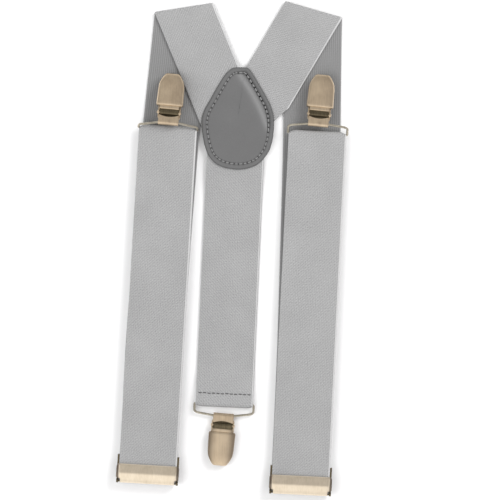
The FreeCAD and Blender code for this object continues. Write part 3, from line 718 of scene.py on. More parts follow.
def strap_seam():
    """Where the inner edges of the two slanting plies meet, and the way down their seam."""
    lean_left, lean_right = math.radians(SLANT["left"]), math.radians(SLANT["right"])
    half = WEB_WIDTH / 2
    left_x = TOP_FOLD["left"][0] + half / math.cos(lean_left)
    right_x = TOP_FOLD["right"][0] - half / math.cos(lean_right)
    left_y, right_y = TOP_FOLD["left"][1], TOP_FOLD["right"][1]
    slope = math.tan(lean_left) - math.tan(lean_right)
    drop = (right_x - left_x + (left_y - right_y) * math.tan(lean_left)) / slope
    point = np.array([right_x + drop * math.tan(lean_right), right_y - drop, 0.0])
    return point, heading((SLANT["left"] + SLANT["right"]) / 2)


def reach_to_line(starts, direction, point, normal):
    """How far each start travels along the direction before it meets a line."""
    return ((point - starts) @ normal) / float(np.dot(direction, normal))


def upper_length(side, u):
    """Length of the slanting ply from its fold to its cut end, for each u across."""
    _, top, upper = strap_folds(side)
    across = np.cross(upper, UP)
    starts = top + u[:, None] * across
    seam, seam_normal = strap_seam()
    sign = 1.0 if side == "left" else -1.0
    gap = seam - sign * SEAM_GAP * seam_normal
    to_seam = reach_to_line(starts, upper, gap, seam_normal)
    end_point = np.array([0.0, STRAP_END_Y, 0.0])
    to_end = reach_to_line(starts, upper, end_point, np.array([0.0, 1.0, 0.0]))
    length = np.minimum(to_seam, to_end)
    if side == "right":
        tuck = np.array([*TUCK_POINT, 0.0])
        tuck_normal = heading(TUCK_HEADING + 90.0)
        to_tuck = reach_to_line(starts, upper, tuck, tuck_normal)
        length = length - TUCK_ROUND * np.logaddexp(0.0, (length - to_tuck) / TUCK_ROUND)
    return length


print("seam of the two straps starts at", np.round(strap_seam()[0], 1))

# %% Roll up the straps
LOOP_PULL = 1.6  # the wire's corners draw the cloth's edges back, mm
PULL_FROM = 13.2  # from the middle of the cloth to where that starts, mm
NEAR_RING = 30.0  # length of strap that the wire can reach, mm
REAR_DRIFT = {"left": -2.2, "right": 1.2}  # rear ply's sideways wander at half its height, mm
DRIFT_GROWS, DRIFT_FADES = 0.35, 0.32  # shares of the rear ply
FLAT_ROWS, TURN_ROWS, UPPER_ROWS = (5, 110, 120), (20, 24, 18), 70


def smooth_step(share):
    """0 to 1 with level ends: 3s^2 - 2s^3."""
    share = np.clip(share, 0.0, 1.0)
    return share ** 2 * (3 - 2 * share)


def strap_grid(side, columns=29):
    """The strap's middle surface and its flat U and V, rolled up by `fold_chain`.

    Rows lie square to the strap at the ring and slide along it towards each fold's slant,
    so that every fold line falls on a row.
    """
    folds, _, _ = strap_folds(side)
    u = np.linspace(-WEB_WIDTH / 2, WEB_WIDTH / 2, columns)
    stops = [0.0]
    slants = [0.0]
    rows = []
    for (at, slant, radius), flat_rows, turn_rows in zip(folds, FLAT_ROWS, TURN_ROWS):
        rows.append(np.linspace(stops[-1], at, flat_rows, endpoint=False))
        past = at + np.pi * radius / math.cos(slant)
        rows.append(np.linspace(at, past, turn_rows, endpoint=False))
        stops += [at, past]
        slants += [math.tan(slant)] * 2
    w = np.concatenate(rows)
    v = w[:, None] + u[None, :] * np.interp(w, stops, slants)[:, None]
    start = stops[-1] + u * slants[-1]
    final = stops[-1] + u * slants[-1] + upper_length(side, u)
    share = np.linspace(0.0, 1.0, UPPER_ROWS)[:, None]
    v = np.concatenate([v, start[None] * (1 - share) + final[None] * share])
    u_grid = np.broadcast_to(u, v.shape)
    origin, x, y, _ = RUNS[side]
    level = FRONT_LEVEL - 2 * LOOP_RADIUS
    begin = (origin - STUB * y + level * UP, -x, y, -UP)
    points = fold_chain(begin, folds, u_grid, v)
    along = (points - origin) @ y
    edge = np.clip((np.abs(u_grid) - PULL_FROM) / (WEB_WIDTH / 2 - PULL_FROM), 0.0, 1.0) ** 2
    near = np.clip((along + 4.0) / 5.0, 0.0, 1.0) * (v < NEAR_RING)
    points = points - (LOOP_PULL * edge * near)[..., None] * y
    low, high = folds[1][0], folds[2][0]
    climb = (v - low) / (high - low)
    drift = smooth_step(climb / DRIFT_GROWS) * smooth_step((1 - climb) / DRIFT_FADES)
    points = points + REAR_DRIFT[side] * drift[..., None] * np.cross(y, UP)
    return points, u_grid + WEB_WIDTH / 2, v


for side in SIDES:
    middle, cloth_u, cloth_v = strap_grid(side)
    piece = add_piece(side + "_webbing", strip(middle, WEB_THICK, 0.3, (cloth_u, cloth_v)),
                      None, "webbing", WEBBING, sharp=60)
    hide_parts(side + "_shoulder_strap", side + "_front_ply")

# %% [markdown]
# Behind each front ply the webbing comes back down from the ring to the adjuster, where its
# end is sewn round a bar.  When the adjuster slides up, this ply gets shorter, so it is a
# piece of its own.  The sewn end rides on the adjuster.

# %% Paths carried across


def path_grid(path, half=WEB_WIDTH / 2, columns=29, flip=False):
    """A surface from a path of (along, up) pairs carried straight across.

    `half` is its half width: one number, or one for each point of the path.
    """
    x = np.linspace(-1.0, 1.0, columns) * np.broadcast_to(half, len(path))[:, None]
    grid = np.empty((len(path), columns, 3))
    grid[..., 0] = -x if flip else x
    grid[..., 1] = path[:, 0:1]
    grid[..., 2] = path[:, 1:2]
    return grid


def arc_path(centre, radius, first, last, count):
    """Points on an arc in the plane of (along, up), between two angles in degrees."""
    angle = np.radians(np.linspace(first, last, count))
    return np.stack([centre[0] + radius * np.cos(angle), centre[1] + radius * np.sin(angle)],
                    axis=1)


def eased_path(corners, step=0.6, spread=4):
    """Straight runs between corners, sampled evenly and softened by a moving average."""
    corners = np.array(corners, float)
    reach = np.append(0.0, np.cumsum(np.linalg.norm(np.diff(corners, axis=0), axis=1)))
    at = np.linspace(0.0, reach[-1], max(3, int(reach[-1] / step)))
    points = np.stack([np.interp(at, reach, corners[:, 0]), np.interp(at, reach, corners[:, 1])],
                      axis=1)
    padded = np.pad(points, ((spread, spread), (0, 0)), mode="reflect", reflect_type="odd")
    window = np.ones(2 * spread + 1) / (2 * spread + 1)
    eased = [np.convolve(padded[:, i], window, mode="valid") for i in range(2)]
    return np.stack(eased, axis=1)


print("paths ready")

# %% Return plies and sewn ends
RETURN_START, RETURN_END = 28.3, 6.1  # from the adjuster's lower edge, and from the ring
RETURN_HIGH, RETURN_LOW = 4.8, 3.4
BAR = (16.2, 3.45)  # along from the adjuster's lower edge, and above the table
BAR_LOOP_RADIUS = 1.35
SEWN_TAIL = 12.0
SEWN_HIGH, SEWN_LOW = 4.8, 3.6


def sewn_path():
    """The sewn end: in under the bar, round it, and back out above."""
    tail = BAR[0] + SEWN_TAIL
    middle = (BAR[0] + SEWN_TAIL / 2, SEWN_LOW)
    under = eased_path([(tail, SEWN_LOW), middle, (BAR[0], BAR[1] - BAR_LOOP_RADIUS)], 0.6, 3)
    turn = arc_path(BAR, BAR_LOOP_RADIUS, 270, 90, 18)
    return np.concatenate([under[:-1], turn, [(BAR[0] + 4, SEWN_HIGH), (tail, SEWN_HIGH)]])


for side in SIDES:
    run = RUN_LENGTH[side]
    path = eased_path([(-run + RETURN_START, RETURN_HIGH), (-RETURN_END, RETURN_LOW)], 2.0)
    piece = add_piece(side + "_return_webbing", strip(path_grid(path), WEB_THICK, 0.3),
                      RUNS[side], "webbing", WEBBING, sharp=60)
    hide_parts(side + "_return_ply")
    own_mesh(piece)
    path = sewn_path()
    piece = add_piece(side + "_sewn_end", strip(path_grid(path), WEB_THICK, 0.3),
                      adjuster_frame(side), side + "_adjuster", WEBBING, sharp=60)
    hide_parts(side + "_hem_loop")

# %% [markdown]
# The back strap ends in a loop round its ring, turned under and held by one row of dark
# stitches.  The seam pulls the cloth down a little, which is what makes it look sewn.

# %% Back strap
BACK_RUN_Y = -96.1  # where the ring's run crosses the strap, mm
END_GAP = 0.3  # between this strap's end and the shoulder straps' ends, mm
BACK_TOP = STRAP_END_Y - BACK_RUN_Y - END_GAP
ON_TABLE, ON_HEM, IN_PATCH = 0.6, 1.8, 2.2  # middle of the cloth above the table, mm
LOOP_AXIS = 2.0
HEM_LENGTH, HEM_ROWS = 11.0, 18
HEM_SEAM = 6.4
SEAM_DIP = 0.22

run = RUNS["back"]
under_along = np.linspace(-HEM_LENGTH, 0.0, HEM_ROWS, endpoint=False)
under = np.stack([under_along, np.full(HEM_ROWS, ON_TABLE)], axis=1)
turn = arc_path((0.0, LOOP_AXIS), LOOP_RADIUS, -90, 90, 20)
climb = eased_path([(0.0, LOOP_AXIS + LOOP_RADIUS), (-9.0, ON_HEM), (-HEM_LENGTH, ON_HEM),
                    (-22.0, ON_TABLE), (-126.9, ON_TABLE), (-144.9, IN_PATCH),
                    (-BACK_TOP, IN_PATCH)], 0.7, 3)
path = np.concatenate([under, turn, climb[1:]])
back_grid = path_grid(path, flip=True)
dip = SEAM_DIP * np.exp(-((back_grid[..., 1] + HEM_SEAM) / 0.9) ** 2)
back_grid[..., 2] -= np.where(back_grid[..., 2] > 1.5, dip, 0.0)
edge = np.clip((np.abs(back_grid[..., 0]) - 14.0) / 3.5, 0.0, 1.0) ** 2
back_grid[..., 1] -= 0.9 * edge * np.clip((back_grid[..., 1] + 3.0) / 4.0, 0.0, 1.0)
step = np.linalg.norm(np.diff(path, axis=0), axis=1)
cloth_v = np.repeat(np.append(0.0, np.cumsum(step))[:, None], back_grid.shape[1], axis=1)
# U runs from the strap's right edge, so the painted highlight of the edge at U = 0 falls on the
# right.
cloth_u = np.broadcast_to(np.linspace(WEB_WIDTH, 0.0, back_grid.shape[1]), cloth_v.shape)
piece = add_piece("back_webbing", strip(back_grid, WEB_THICK, 0.3, (cloth_u, cloth_v)), run,
                  "webbing", WEBBING, sharp=60)
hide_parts("back_strap")

# %% Seam of the back strap
STITCH_PITCH = 2.75
STITCH_HALF = 0.95


def stitch(start, end, normal, radius, height=0.35, steps=9):
    """One stitch: an arch of thread that dives into the cloth at both ends.

    Height over the cloth is height * (1 - (2s - 1)^4) - radius, for s from 0 to 1.
    """
    s = np.linspace(0.0, 1.0, steps)[:, None]
    rise = height * (1 - (2 * s - 1) ** 4) - radius * 0.8
    return tube(start + (end - start) * s + normal * rise, radius, sides=8)


def hem_top(along):
    """Height of the back strap's upper surface at a place in its own frame."""
    rows = np.where(path[:, 1] > 1.4)[0]
    rows = rows[np.argsort(path[rows, 0])]
    level = np.interp(along, path[rows, 0], path[rows, 1])
    return level + WEB_THICK / 2 - SEAM_DIP


count = int(WEB_WIDTH / STITCH_PITCH)
level = hem_top(-HEM_SEAM)
seams = []
for i in range(count):
    x = (i - (count - 1) / 2) * STITCH_PITCH
    wander = 0.12 * math.sin(2.3 * i)
    middle = np.array([x, -HEM_SEAM + wander, level])
    half = np.array([STITCH_HALF, 0.0, 0.0])
    seams.append(stitch(middle - half, middle + half, UP, 0.3))
piece = add_piece("back_hem_thread", merged(*seams), run, "webbing", HEM_THREAD)
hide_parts("back_hem_stitching")

# %% [markdown]
# The patch is two leathers cut to the same drop shape, sewn all round over the strap ends.
# The front one is worked out in rings: each ring is the outline moved inwards, and then
# drawn towards the middle.  Its height falls off at the rim, dips along the stitches, and
# steps down where the edge of a strap lies beneath.

# %% Patch outline
PATCH_CENTRE = np.array([3.25, 81.0, 0.0])
# Corners of the drop shape, counter-clockwise and measured from the patch's centre in mm.
PATCH_CORNERS = np.array([
    (-3.1, 31.0), (-5.8, 29.1), (-8.5, 26.0), (-13.0, 18.5), (-17.5, 10.5), (-20.8, 4.9),
    (-22.3, 0.0), (-22.6, -3.8), (-22.1, -9.6), (-20.8, -16.4), (-18.7, -22.7), (-16.1, -26.4),
    (-12.6, -29.2), (-7.6, -31.1), (-0.7, -32.1), (5.2, -31.6), (11.1, -29.6), (14.2, -27.3),
    (17.0, -24.2), (19.7, -19.9), (21.6, -13.1), (22.4, -4.4), (22.0, 1.3), (20.2, 7.7),
    (17.0, 13.6), (13.4, 20.0), (9.3, 26.8), (6.2, 31.1)])
STITCHES = 54
PER_STITCH = 12


def smooth_closed(corners, count, spread):
    """A closed outline resampled evenly and softened round its corners."""
    loop = np.concatenate([corners, corners[:1]])
    reach = np.append(0.0, np.cumsum(np.linalg.norm(np.diff(loop, axis=0), axis=1)))
    at = np.linspace(0.0, reach[-1], count, endpoint=False)
    points = np.stack([np.interp(at, reach, loop[:, i]) for i in range(2)], axis=1)
    window = np.hanning(2 * spread + 3)[1:-1]
    window = window / window.sum()
    padded = np.concatenate([points[-spread:], points, points[:spread]])
    return np.stack([np.convolve(padded[:, i], window, mode="valid") for i in range(2)], axis=1)


OUTLINE = smooth_closed(PATCH_CORNERS, STITCHES * PER_STITCH, 14)
print("patch", np.round(np.ptp(OUTLINE, axis=0), 1), "mm")

# %% Front leather
FRONT_LOW, FRONT_THICK = 2.8, 1.6
STITCH_INSET = 3.3
RIDGE_POINT, RIDGE_HEADING = np.array([2.5, 24.7]), -62.3
RIDGE_STEP = 1.15
# The holes' size also sets the spread of the painted shade in them.
HOLE_DEEP, HOLE_LONG, HOLE_WIDE = 0.38, 0.72, 0.62  # needle holes, mm
GROOVE_DEEP = 0.30  # the row of stitches sinks this far in, mm
HOLE_PITCH = 2.8  # mm from hole to hole along the row
FAR = 9.0  # stands for a ring that is nowhere near the stitches
UPPER_SIDE = 3.7  # rings above this height belong to the upper side, mm
TOP_DROP = 0.12
BACKS = (0.12, 0.35, 0.7, 1.2, 1.8, 2.3, 2.6, 2.8, 2.95, 3.1, 3.2, 3.3, 3.4, 3.5, 3.65, 3.8,
         4.0, 4.3, 4.8, 5.5)  # distances of the upper rings from the outline, mm


def ridge(points):
    """Step down past the edge of the strap beneath: a smooth 0 to 1 over about 3 mm."""
    along = heading(RIDGE_HEADING)[:2]
    beyond = (points - RIDGE_POINT) @ np.array([-along[1], along[0]])
    bowed = beyond - 1.2 * np.sin(np.clip((points - RIDGE_POINT) @ along / 32.0, 0, 1) * np.pi)
    return 1 / (1 + np.exp(-bowed / 0.9))


def front_rings():
    """Rings of the front leather from its underside, round the rim, to its middle.

    The groove and the holes are bell curves of the distance from the stitches.  The holes' bell
    also darkens them as painted shade, and the slope of the ridge gets a painted highlight.
    """
    rings, edges, hole_shades, ridge_highlights = [], [], [], []
    spot = np.arange(len(OUTLINE)) % PER_STITCH
    hole_along = np.minimum(spot, PER_STITCH - spot) * (HOLE_PITCH / PER_STITCH)

    def put(flat, height, edge, depth):
        """Adds a ring; `depth` is its distance inwards past the stitches."""
        # This bell sinks the needle holes and also paints shade into them.
        hole_pit_and_shade = np.exp(-(hole_along / HOLE_LONG) ** 2 - (depth / HOLE_WIDE) ** 2)
        groove = GROOVE_DEEP * math.exp(-(depth / 1.0) ** 2)
        rim = math.exp(-((min(depth, 0.0) / 1.8) ** 2)) if height > UPPER_SIDE else 0.0
        drop = ridge(flat)
        level = height - groove - HOLE_DEEP * hole_pit_and_shade - RIDGE_STEP * rim * drop
        rings.append(np.concatenate([flat, np.broadcast_to(level, (len(flat),))[:, None]], axis=1))
        edges.append(np.full(len(flat), edge))
        hole_shades.append(hole_pit_and_shade)
        # Painted highlight on the slope of the ridge, inside the stitches.
        ridge_highlights.append(4 * drop * (1 - drop) * rim * (depth > 0.8))

    for share in (0.04, 0.5, 0.9):
        put(OUTLINE * share, FRONT_LOW, 0.0, FAR)
    top = FRONT_LOW + FRONT_THICK
    for back, height in ((0.25, FRONT_LOW), (0.0, FRONT_LOW + 0.3), (-0.05, top - 0.75)):
        put(inset(OUTLINE, back), height, 1.0, FAR)
    for back in BACKS:
        drop = 0.62 * math.exp(-back / 0.42)
        put(inset(OUTLINE, back), top - drop - TOP_DROP, math.exp(-((back / 0.45) ** 2)),
            back - STITCH_INSET)
    inner = inset(OUTLINE, BACKS[-1])
    for share in np.linspace(0.94, 0.04, 22):
        crown = 0.18 * (1 - share ** 2)
        put(inner * share, top - TOP_DROP + crown, 0.0, FAR)
    return np.array(rings), np.array(edges), np.array(hole_shades), np.array(ridge_highlights)


rings, edges, hole_shades, ridge_highlights = front_rings()
shape = layered(rings + PATCH_CENTRE)
piece = add_piece("patch_leather", shape, None, "webbing", LEATHER,
                  values={"edge": edges, "hole_pit_and_shade": hole_shades, "ridge_highlight": ridge_highlights}, sharp=50)
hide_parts("patch_front")

# %% Back leather
BACK_SCALE = 0.95
BACK_RIM = ((9.0, 0.0), (0.3, 0.0), (0.0, 0.35), (0.0, 1.25), (0.3, 1.6), (9.0, 1.6))
rings = []
for back, height in BACK_RIM:
    flat = inset(OUTLINE[::4] * BACK_SCALE, back)
    rings.append(np.concatenate([flat, np.full((len(flat), 1), height)], axis=1))
rings = np.array(rings) + PATCH_CENTRE
shape = layered(rings)
edges = np.repeat([0.0, 0.6, 1.0, 1.0, 0.6, 0.0], rings.shape[1])
piece = add_piece("patch_backing", shape, None, "webbing", LEATHER,
                  values={"edge": edges, "hole_pit_and_shade": edges * 0}, sharp=50)
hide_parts("patch_back")

# %% Patch thread
THREAD_SUNK = 0.42  # the row lies this far below the leather's top, mm
line = inset(OUTLINE, STITCH_INSET)
level = FRONT_LOW + FRONT_THICK - THREAD_SUNK
threads = []
for i in range(STITCHES):
    start = line[i * PER_STITCH + 2]
    end = line[(i * PER_STITCH + PER_STITCH - 2) % len(line)]
    threads.append(stitch(np.append(start, level), np.append(end, level), UP, 0.24, 0.42))
points, faces, uv = merged(*threads)
piece = add_piece("patch_thread", (points + PATCH_CENTRE, faces, uv), None, "webbing",
                  LIT_PATCH_THREAD)
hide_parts("patch_stitching")

# %% [markdown]
# Each ring is one length of wire bent to a rectangle, with tight corners beside the webbing
# and wide corners beside the clip.  The run inside the clip is slightly bowed, because the
# clip pulls on its middle.

# %% Rings
RING_HALF, RING_DEEP = 18.3, 7.4
RING_TIGHT = 1.0
RING_WIDE = {"left": 6.0, "right": 3.0, "back": 3.2}  # each ring is bent a little differently
WIRE_RADIUS = 0.7
RING_BOW = {"left": 4.2, "right": 1.8, "back": 1.8}  # how far the far corners draw back, mm
TAIL_SHARE = 6.0  # the clip's tail keeps the run straight this far from its middle, mm


def ring_path(bow, wide):
    """The wire's centre line: four runs joined by arcs, its far corners drawn back."""
    corners = []
    stops = ((RING_HALF, 0.0, RING_TIGHT, -90), (RING_HALF, RING_DEEP, wide, 0),
             (-RING_HALF, RING_DEEP, wide, 90), (-RING_HALF, 0.0, RING_TIGHT, 180))
    for cx, cy, bend, first in stops:
        centre = (cx - math.copysign(bend, cx), cy + (bend if cy == 0 else -bend))
        corners.append(arc_path(centre, bend, first, first + 90, 12))
        if cy and cx > 0:
            run_x = np.linspace(RING_HALF - wide, wide - RING_HALF, 60)[1:-1]
            corners.append(np.stack([run_x, np.full(len(run_x), RING_DEEP)], axis=1))
    flat = np.concatenate(corners)
    far = np.clip(flat[:, 1] / RING_DEEP, 0.0, 1.0) ** 3
    beside = np.clip((np.abs(flat[:, 0]) - TAIL_SHARE) / (RING_HALF - TAIL_SHARE), 0, 1)
    flat[:, 1] -= bow * beside ** 0.9 * far
    return np.concatenate([flat, np.zeros((len(flat), 1))], axis=1)


for side in CLIPS:
    wire = tube(ring_path(RING_BOW[side], RING_WIDE[side]), WIRE_RADIUS, closed=True, sides=16)
    piece = add_piece(side + "_wire_ring", wire, ring_frame(side), side + "_ring",
                      WIRE, sharp=80)
    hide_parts(side + "_ring")

# %% [markdown]
# A clip is pressed sheet metal: a back plate whose tail is rolled round the ring, a lid
# that flips on a riveted pin, and a sprung jaw between them.  Plates are strips; the lid
# starts from its outline, like the patch, and turns down into a skirt all round.

# %% Clip back plate
SHEET = 0.6
PLATE_LONG, PLATE_ROWS = 30.2, 70
PLATE_WIDE, PLATE_TIP, PLATE_SQUARE = 13.6, 6.2, 23.5  # wide, wide at the tip, rounded from
TAIL_HALF, TAIL_RADIUS = 6.1, 1.4
NECK_LONG, NECK_ROWS = 4.4, 13
EAR_AT = 6.5


def narrowing(along, wide, tip_wide, start, end):
    """Half width of a plate that keeps its width and then rounds in to its tip.

    For s from 0 to 1 between start and end it changes by 0.35 s + 0.65 s^2 of the difference.
    """
    s = np.clip((along - start) / (end - start), 0.0, 1.0)
    return (wide + (tip_wide - wide) * (0.35 * s + 0.65 * s ** 2)) / 2


def base_shape():
    """Back plate, rolled tail, neck with a hollow front edge, and two ears."""
    along = np.linspace(PLATE_LONG, 0.0, PLATE_ROWS, endpoint=False)
    flat = np.stack([along, np.full(PLATE_ROWS, -TAIL_RADIUS)], axis=1)
    roll = arc_path((0.0, 0.0), TAIL_RADIUS, 270, 90, 22)
    along = np.linspace(0.0, NECK_LONG, NECK_ROWS + 1)[1:]
    neck = np.stack([along, np.full(NECK_ROWS, TAIL_RADIUS)], axis=1)
    path = np.concatenate([flat, roll, neck])
    halves = narrowing(path[:, 0], PLATE_WIDE, PLATE_TIP, PLATE_SQUARE, PLATE_LONG)
    tail = np.clip((path[:, 0] - 2.2) / 1.2, 0.0, 1.0)
    halves = np.where(path[:, 0] < 4.5, TAIL_HALF + 0.7 * tail, halves)
    halves[PLATE_ROWS:] = TAIL_HALF
    grid = path_grid(path, halves, 25)
    hollow = 1.3 * (1 - (grid[..., 0] / TAIL_HALF) ** 2)
    neck_share = np.zeros(len(path))
    neck_share[-NECK_ROWS:] = np.linspace(0.0, 1.0, NECK_ROWS)
    grid[..., 1] -= hollow * neck_share[:, None]
    crease = np.exp(-((grid[..., 0] / 1.2) ** 2))
    near = np.exp(-((grid[..., 1] + 0.4) / 1.5) ** 2) * (grid[..., 2] > 0.3)
    grid[..., 2] += 0.3 * crease * near
    parts = [strip(grid, SHEET, 0.4)]
    post = [(PIN_ALONG - 1.7, -1.5), (PIN_ALONG + 1.7, -1.5)]
    rim = arc_path((PIN_ALONG, PIN_UP), 1.7, 0, 180, 15)
    outline = np.concatenate([post, rim])
    for sign in (-1, 1):
        low = EAR_AT * sign - SHEET / 2
        parts.append(plate(outline, low, low + SHEET, 0.1, axes=(1, 2, 0)))
    return merged(*parts)


print("back plate", PLATE_WIDE, "x", PLATE_LONG, "mm")

# %% [markdown]
# Under the lid a sprung jaw presses the cloth against the back plate, and both carry a rubber
# pad with rows of small points, so that the clip holds without tearing.  Points that are only
# painted or bumped would look flat from the side, so they are raised in the mesh.

# %% Sprung jaw
JAW_PATH = ((2.2, -0.4), (8.0, -0.4), (11.0, 1.5), (29.9, 1.5))
JAW_WIDE, JAW_REAR, JAW_TIP = 13.0, 11.8, 6.0


def jaw_shape():
    """Sprung jaw: rounded rear edge, ramp and front plate with two stiffening ribs."""
    path = eased_path(JAW_PATH, 0.4, 2)
    wide = JAW_REAR + (JAW_WIDE - JAW_REAR) * np.clip((path[:, 0] - 10.0) / 1.5, 0.0, 1.0)
    rounded = narrowing(path[:, 0], JAW_WIDE, JAW_TIP, PLATE_SQUARE, JAW_PATH[-1][0])
    grid = path_grid(path, np.minimum(wide / 2, rounded), 25)
    rib = np.exp(-((np.abs(grid[..., 0]) - 2.6) / 0.5) ** 2)
    grid[..., 2] += 0.18 * rib * np.clip((grid[..., 1] - 12.0) / 2.0, 0, 1)
    return strip(grid, SHEET, 0.4)


print("sprung jaw", JAW_WIDE, "mm wide")

# %% Grip pads and pin
PAD_HALF, PAD_START, PAD_END = 6.4, 22.6, 29.4
POINT_PITCH, POINT_HIGH = 1.3, 0.3  # small points of the gripping face, mm


def pad_shape(low, high, up):
    """Grip pad: a rounded block whose gripping face has rows of small points.

    The points are the product of a sine along and a sine across.
    """
    y = np.linspace(PAD_START, PAD_END, 36)
    halves = np.minimum(PAD_HALF, narrowing(y, 2 * PAD_HALF, 6.6, 24.0, 29.9))
    middle = (low + high) / 2
    path = np.stack([y, np.full(len(y), middle)], axis=1)
    points, faces, uv = strip(path_grid(path, halves, 66), high - low, 0.1)
    rows = np.prod(np.sin(points[:, :2] * np.pi / POINT_PITCH), axis=1)
    sign = 1.0 if up else -1.0
    gripping = (points[:, 2] - middle) * sign > 0
    points[:, 2] -= np.where(gripping, POINT_HIGH * sign * (1 - np.abs(rows)), 0.0)
    return points, faces, uv


def pin_shape(half, shank, head, head_long):
    """A pin with a shank and two domed, riveted heads."""
    dome = np.array([(half, 0.15), (half - 0.05, head * 0.55), (half - 0.22, head * 0.86),
                     (half - head_long + 0.15, head), (half - head_long, head),
                     (half - head_long, shank)])
    profile = np.concatenate([dome * (-1, 1), dome[::-1]])
    return turned(profile, (PIN_ALONG, PIN_UP))


print("grip pads", 2 * PAD_HALF, "x", round(PAD_END - PAD_START, 1), "mm")

# %% Plates, pins, jaws and pads in place
# The sprung jaw takes the shaded brass, painted shade under the lid.
CLIP_PARTS = (
    ("back_plate", "clip", base_shape(), "antique_brass", BRASS, "clip_base"),
    ("rivet", "clip", pin_shape(7.5, 0.6, 0.9, 0.65), "antique_brass", BRASS, "clip_pin"),
    ("plate_grip", "clip", pad_shape(-1.1, -0.1, True), "grip_pad", RUBBER, "clip_base_pad"),
    ("sprung_jaw", "jaw", jaw_shape(), "antique_brass", SHADED_BRASS, "clip_jaw"),
    ("jaw_grip", "jaw", pad_shape(0.2, 1.2, False), "grip_pad", RUBBER, "clip_jaw_pad"))

for side in CLIPS:
    for name, body, shape, slot, material, cad_name in CLIP_PARTS:
        piece = add_piece(f"{side}_{name}", shape, clip_frame(side), f"{side}_{body}",
                          material)
        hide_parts(f"{side}_{cad_name}")

# %% [markdown]
# The lid is the part of a clip that shows: a domed cover of pressed sheet, with its edge
# turned down all round.  A bevelled block would have no inside when the lid stands open.
# Rings of its outline give the hollow beneath, the skirt, the rounded shoulder and the dome
# as one closed surface.

# %% Clip lid
# Right half of the lid's outline from its tip to its hinge: across, along, in mm.
LID_HALF = np.array([(3.5, 30.65), (4.5, 30.1), (5.7, 28.4), (6.8, 26.4), (7.6, 24.4), (8.0, 21.5),
                     (8.15, 16.0), (8.3, 10.5), (8.1, 9.9), (6.6, 9.75)])
LID_TOP = 4.4
LID_CENTRE = np.array([0.0, 19.5])
SKIRT_BEND, SKIRT_RIM = 1.3, 1.05  # heights of the skirt's lower edge, mm
SHOULDER = ((0.0, 1.25), (0.05, 0.95), (0.2, 0.6), (0.42, 0.33), (0.75, 0.13), (1.1, 0.03))
LEDGE_PATH = ((12.5, 3.45), (9.9, 3.0), (8.1, 3.0), (7.9, 2.3))
LEDGE_HALF, LEAF_HALF, LEAF_THICK = 5.9, 5.45, 0.5


def lid_shape():
    """Domed cover with a turned-down skirt, and a ledge that rolls round the pin.

    Rings run from the inner middle outwards, down inside the skirt, round its rim, up
    outside and over a rounded shoulder to the middle of the top.
    """
    corners = np.concatenate([LID_HALF[::-1], LID_HALF * (-1, 1)]) - LID_CENTRE
    outline = smooth_closed(corners, 168, 2)
    rings = []

    def put(flat, height):
        """Adds a ring at one height, or at a height for each of its points."""
        level = np.broadcast_to(height, (len(flat),))
        rings.append(np.concatenate([flat, level[:, None]], axis=1))

    def crown(flat, top):
        """Top of the dome: highest along the middle, lower towards the sides and the tip."""
        sag = 0.45 * (flat[:, 0] / 8.2) ** 2
        tip = 0.9 * np.clip((flat[:, 1] - 4.0) / 7.2, 0.0, 1.0) ** 2
        return top - sag - tip

    for share in (0.05, 0.5, 0.9):
        flat = inset(outline, SHEET + 0.5) * share
        put(flat, crown(flat, LID_TOP - SHEET))
    flat = inset(outline, SHEET)
    put(flat, crown(flat, LID_TOP - SHEET - 0.4))
    put(inset(outline, SHEET), SKIRT_BEND)
    put(inset(outline, SHEET - 0.15), SKIRT_RIM)
    put(inset(outline, 0.15), SKIRT_RIM)
    put(outline, SKIRT_BEND)
    for back, down in SHOULDER:
        flat = inset(outline, back)
        put(flat, crown(flat, LID_TOP - down))
    inner = inset(outline, SHOULDER[-1][0])
    for share in (0.93, 0.85, 0.75, 0.62, 0.5, 0.35, 0.2, 0.05):
        flat = inner * share
        put(flat, crown(flat, LID_TOP))
    rings = np.array(rings)
    rings[..., 1] += LID_CENTRE[1]
    ledge = path_grid(eased_path(LEDGE_PATH, 0.2, 1), LEDGE_HALF, 17, flip=True)
    return merged(layered(rings), strip(ledge, LEAF_THICK, 0.4))


print("lid", 2 * LID_HALF[:, 0].max(), "mm wide")

# %% Lid barrel
CAM_AT = 5.5


def ccw(outline):
    """The outline with its points in counter-clockwise order."""
    nxt = np.roll(outline, -1, axis=0)
    area = float((outline[:, 0] * nxt[:, 1] - nxt[:, 0] * outline[:, 1]).sum())
    return outline if area > 0 else outline[::-1]


def barrel_shape():
    """The lid's rolled hinge: a leaf from under the ledge, round the pin, and two cams."""
    leaf = np.concatenate([eased_path([(9.6, 2.2), (6.9, 2.35)], 0.3, 1),
                           arc_path((PIN_ALONG, PIN_UP), 0.95, 55, 262, 16)])
    parts = [strip(path_grid(leaf, LEAF_HALF, 17, flip=True), LEAF_THICK, 0.4)]
    arm = np.array([(9.6, 2.9), (9.6, 2.1), (7.0, 1.2), (6.25, 0.6)])
    nose = arc_path((PIN_ALONG, PIN_UP - 1.25), 0.5, 0, -180, 9)
    rim = np.array([(5.0, 0.9), (4.65, 1.8), (5.0, 2.6), (5.7, 2.9), (7.0, 2.9)])
    outline = ccw(np.concatenate([arm, nose, rim]))
    for sign in (-1, 1):
        low = CAM_AT * sign - SHEET / 2
        parts.append(plate(outline, low, low + SHEET, 0.06, axes=(1, 2, 0)))
    return merged(*parts)


print("barrel ready")

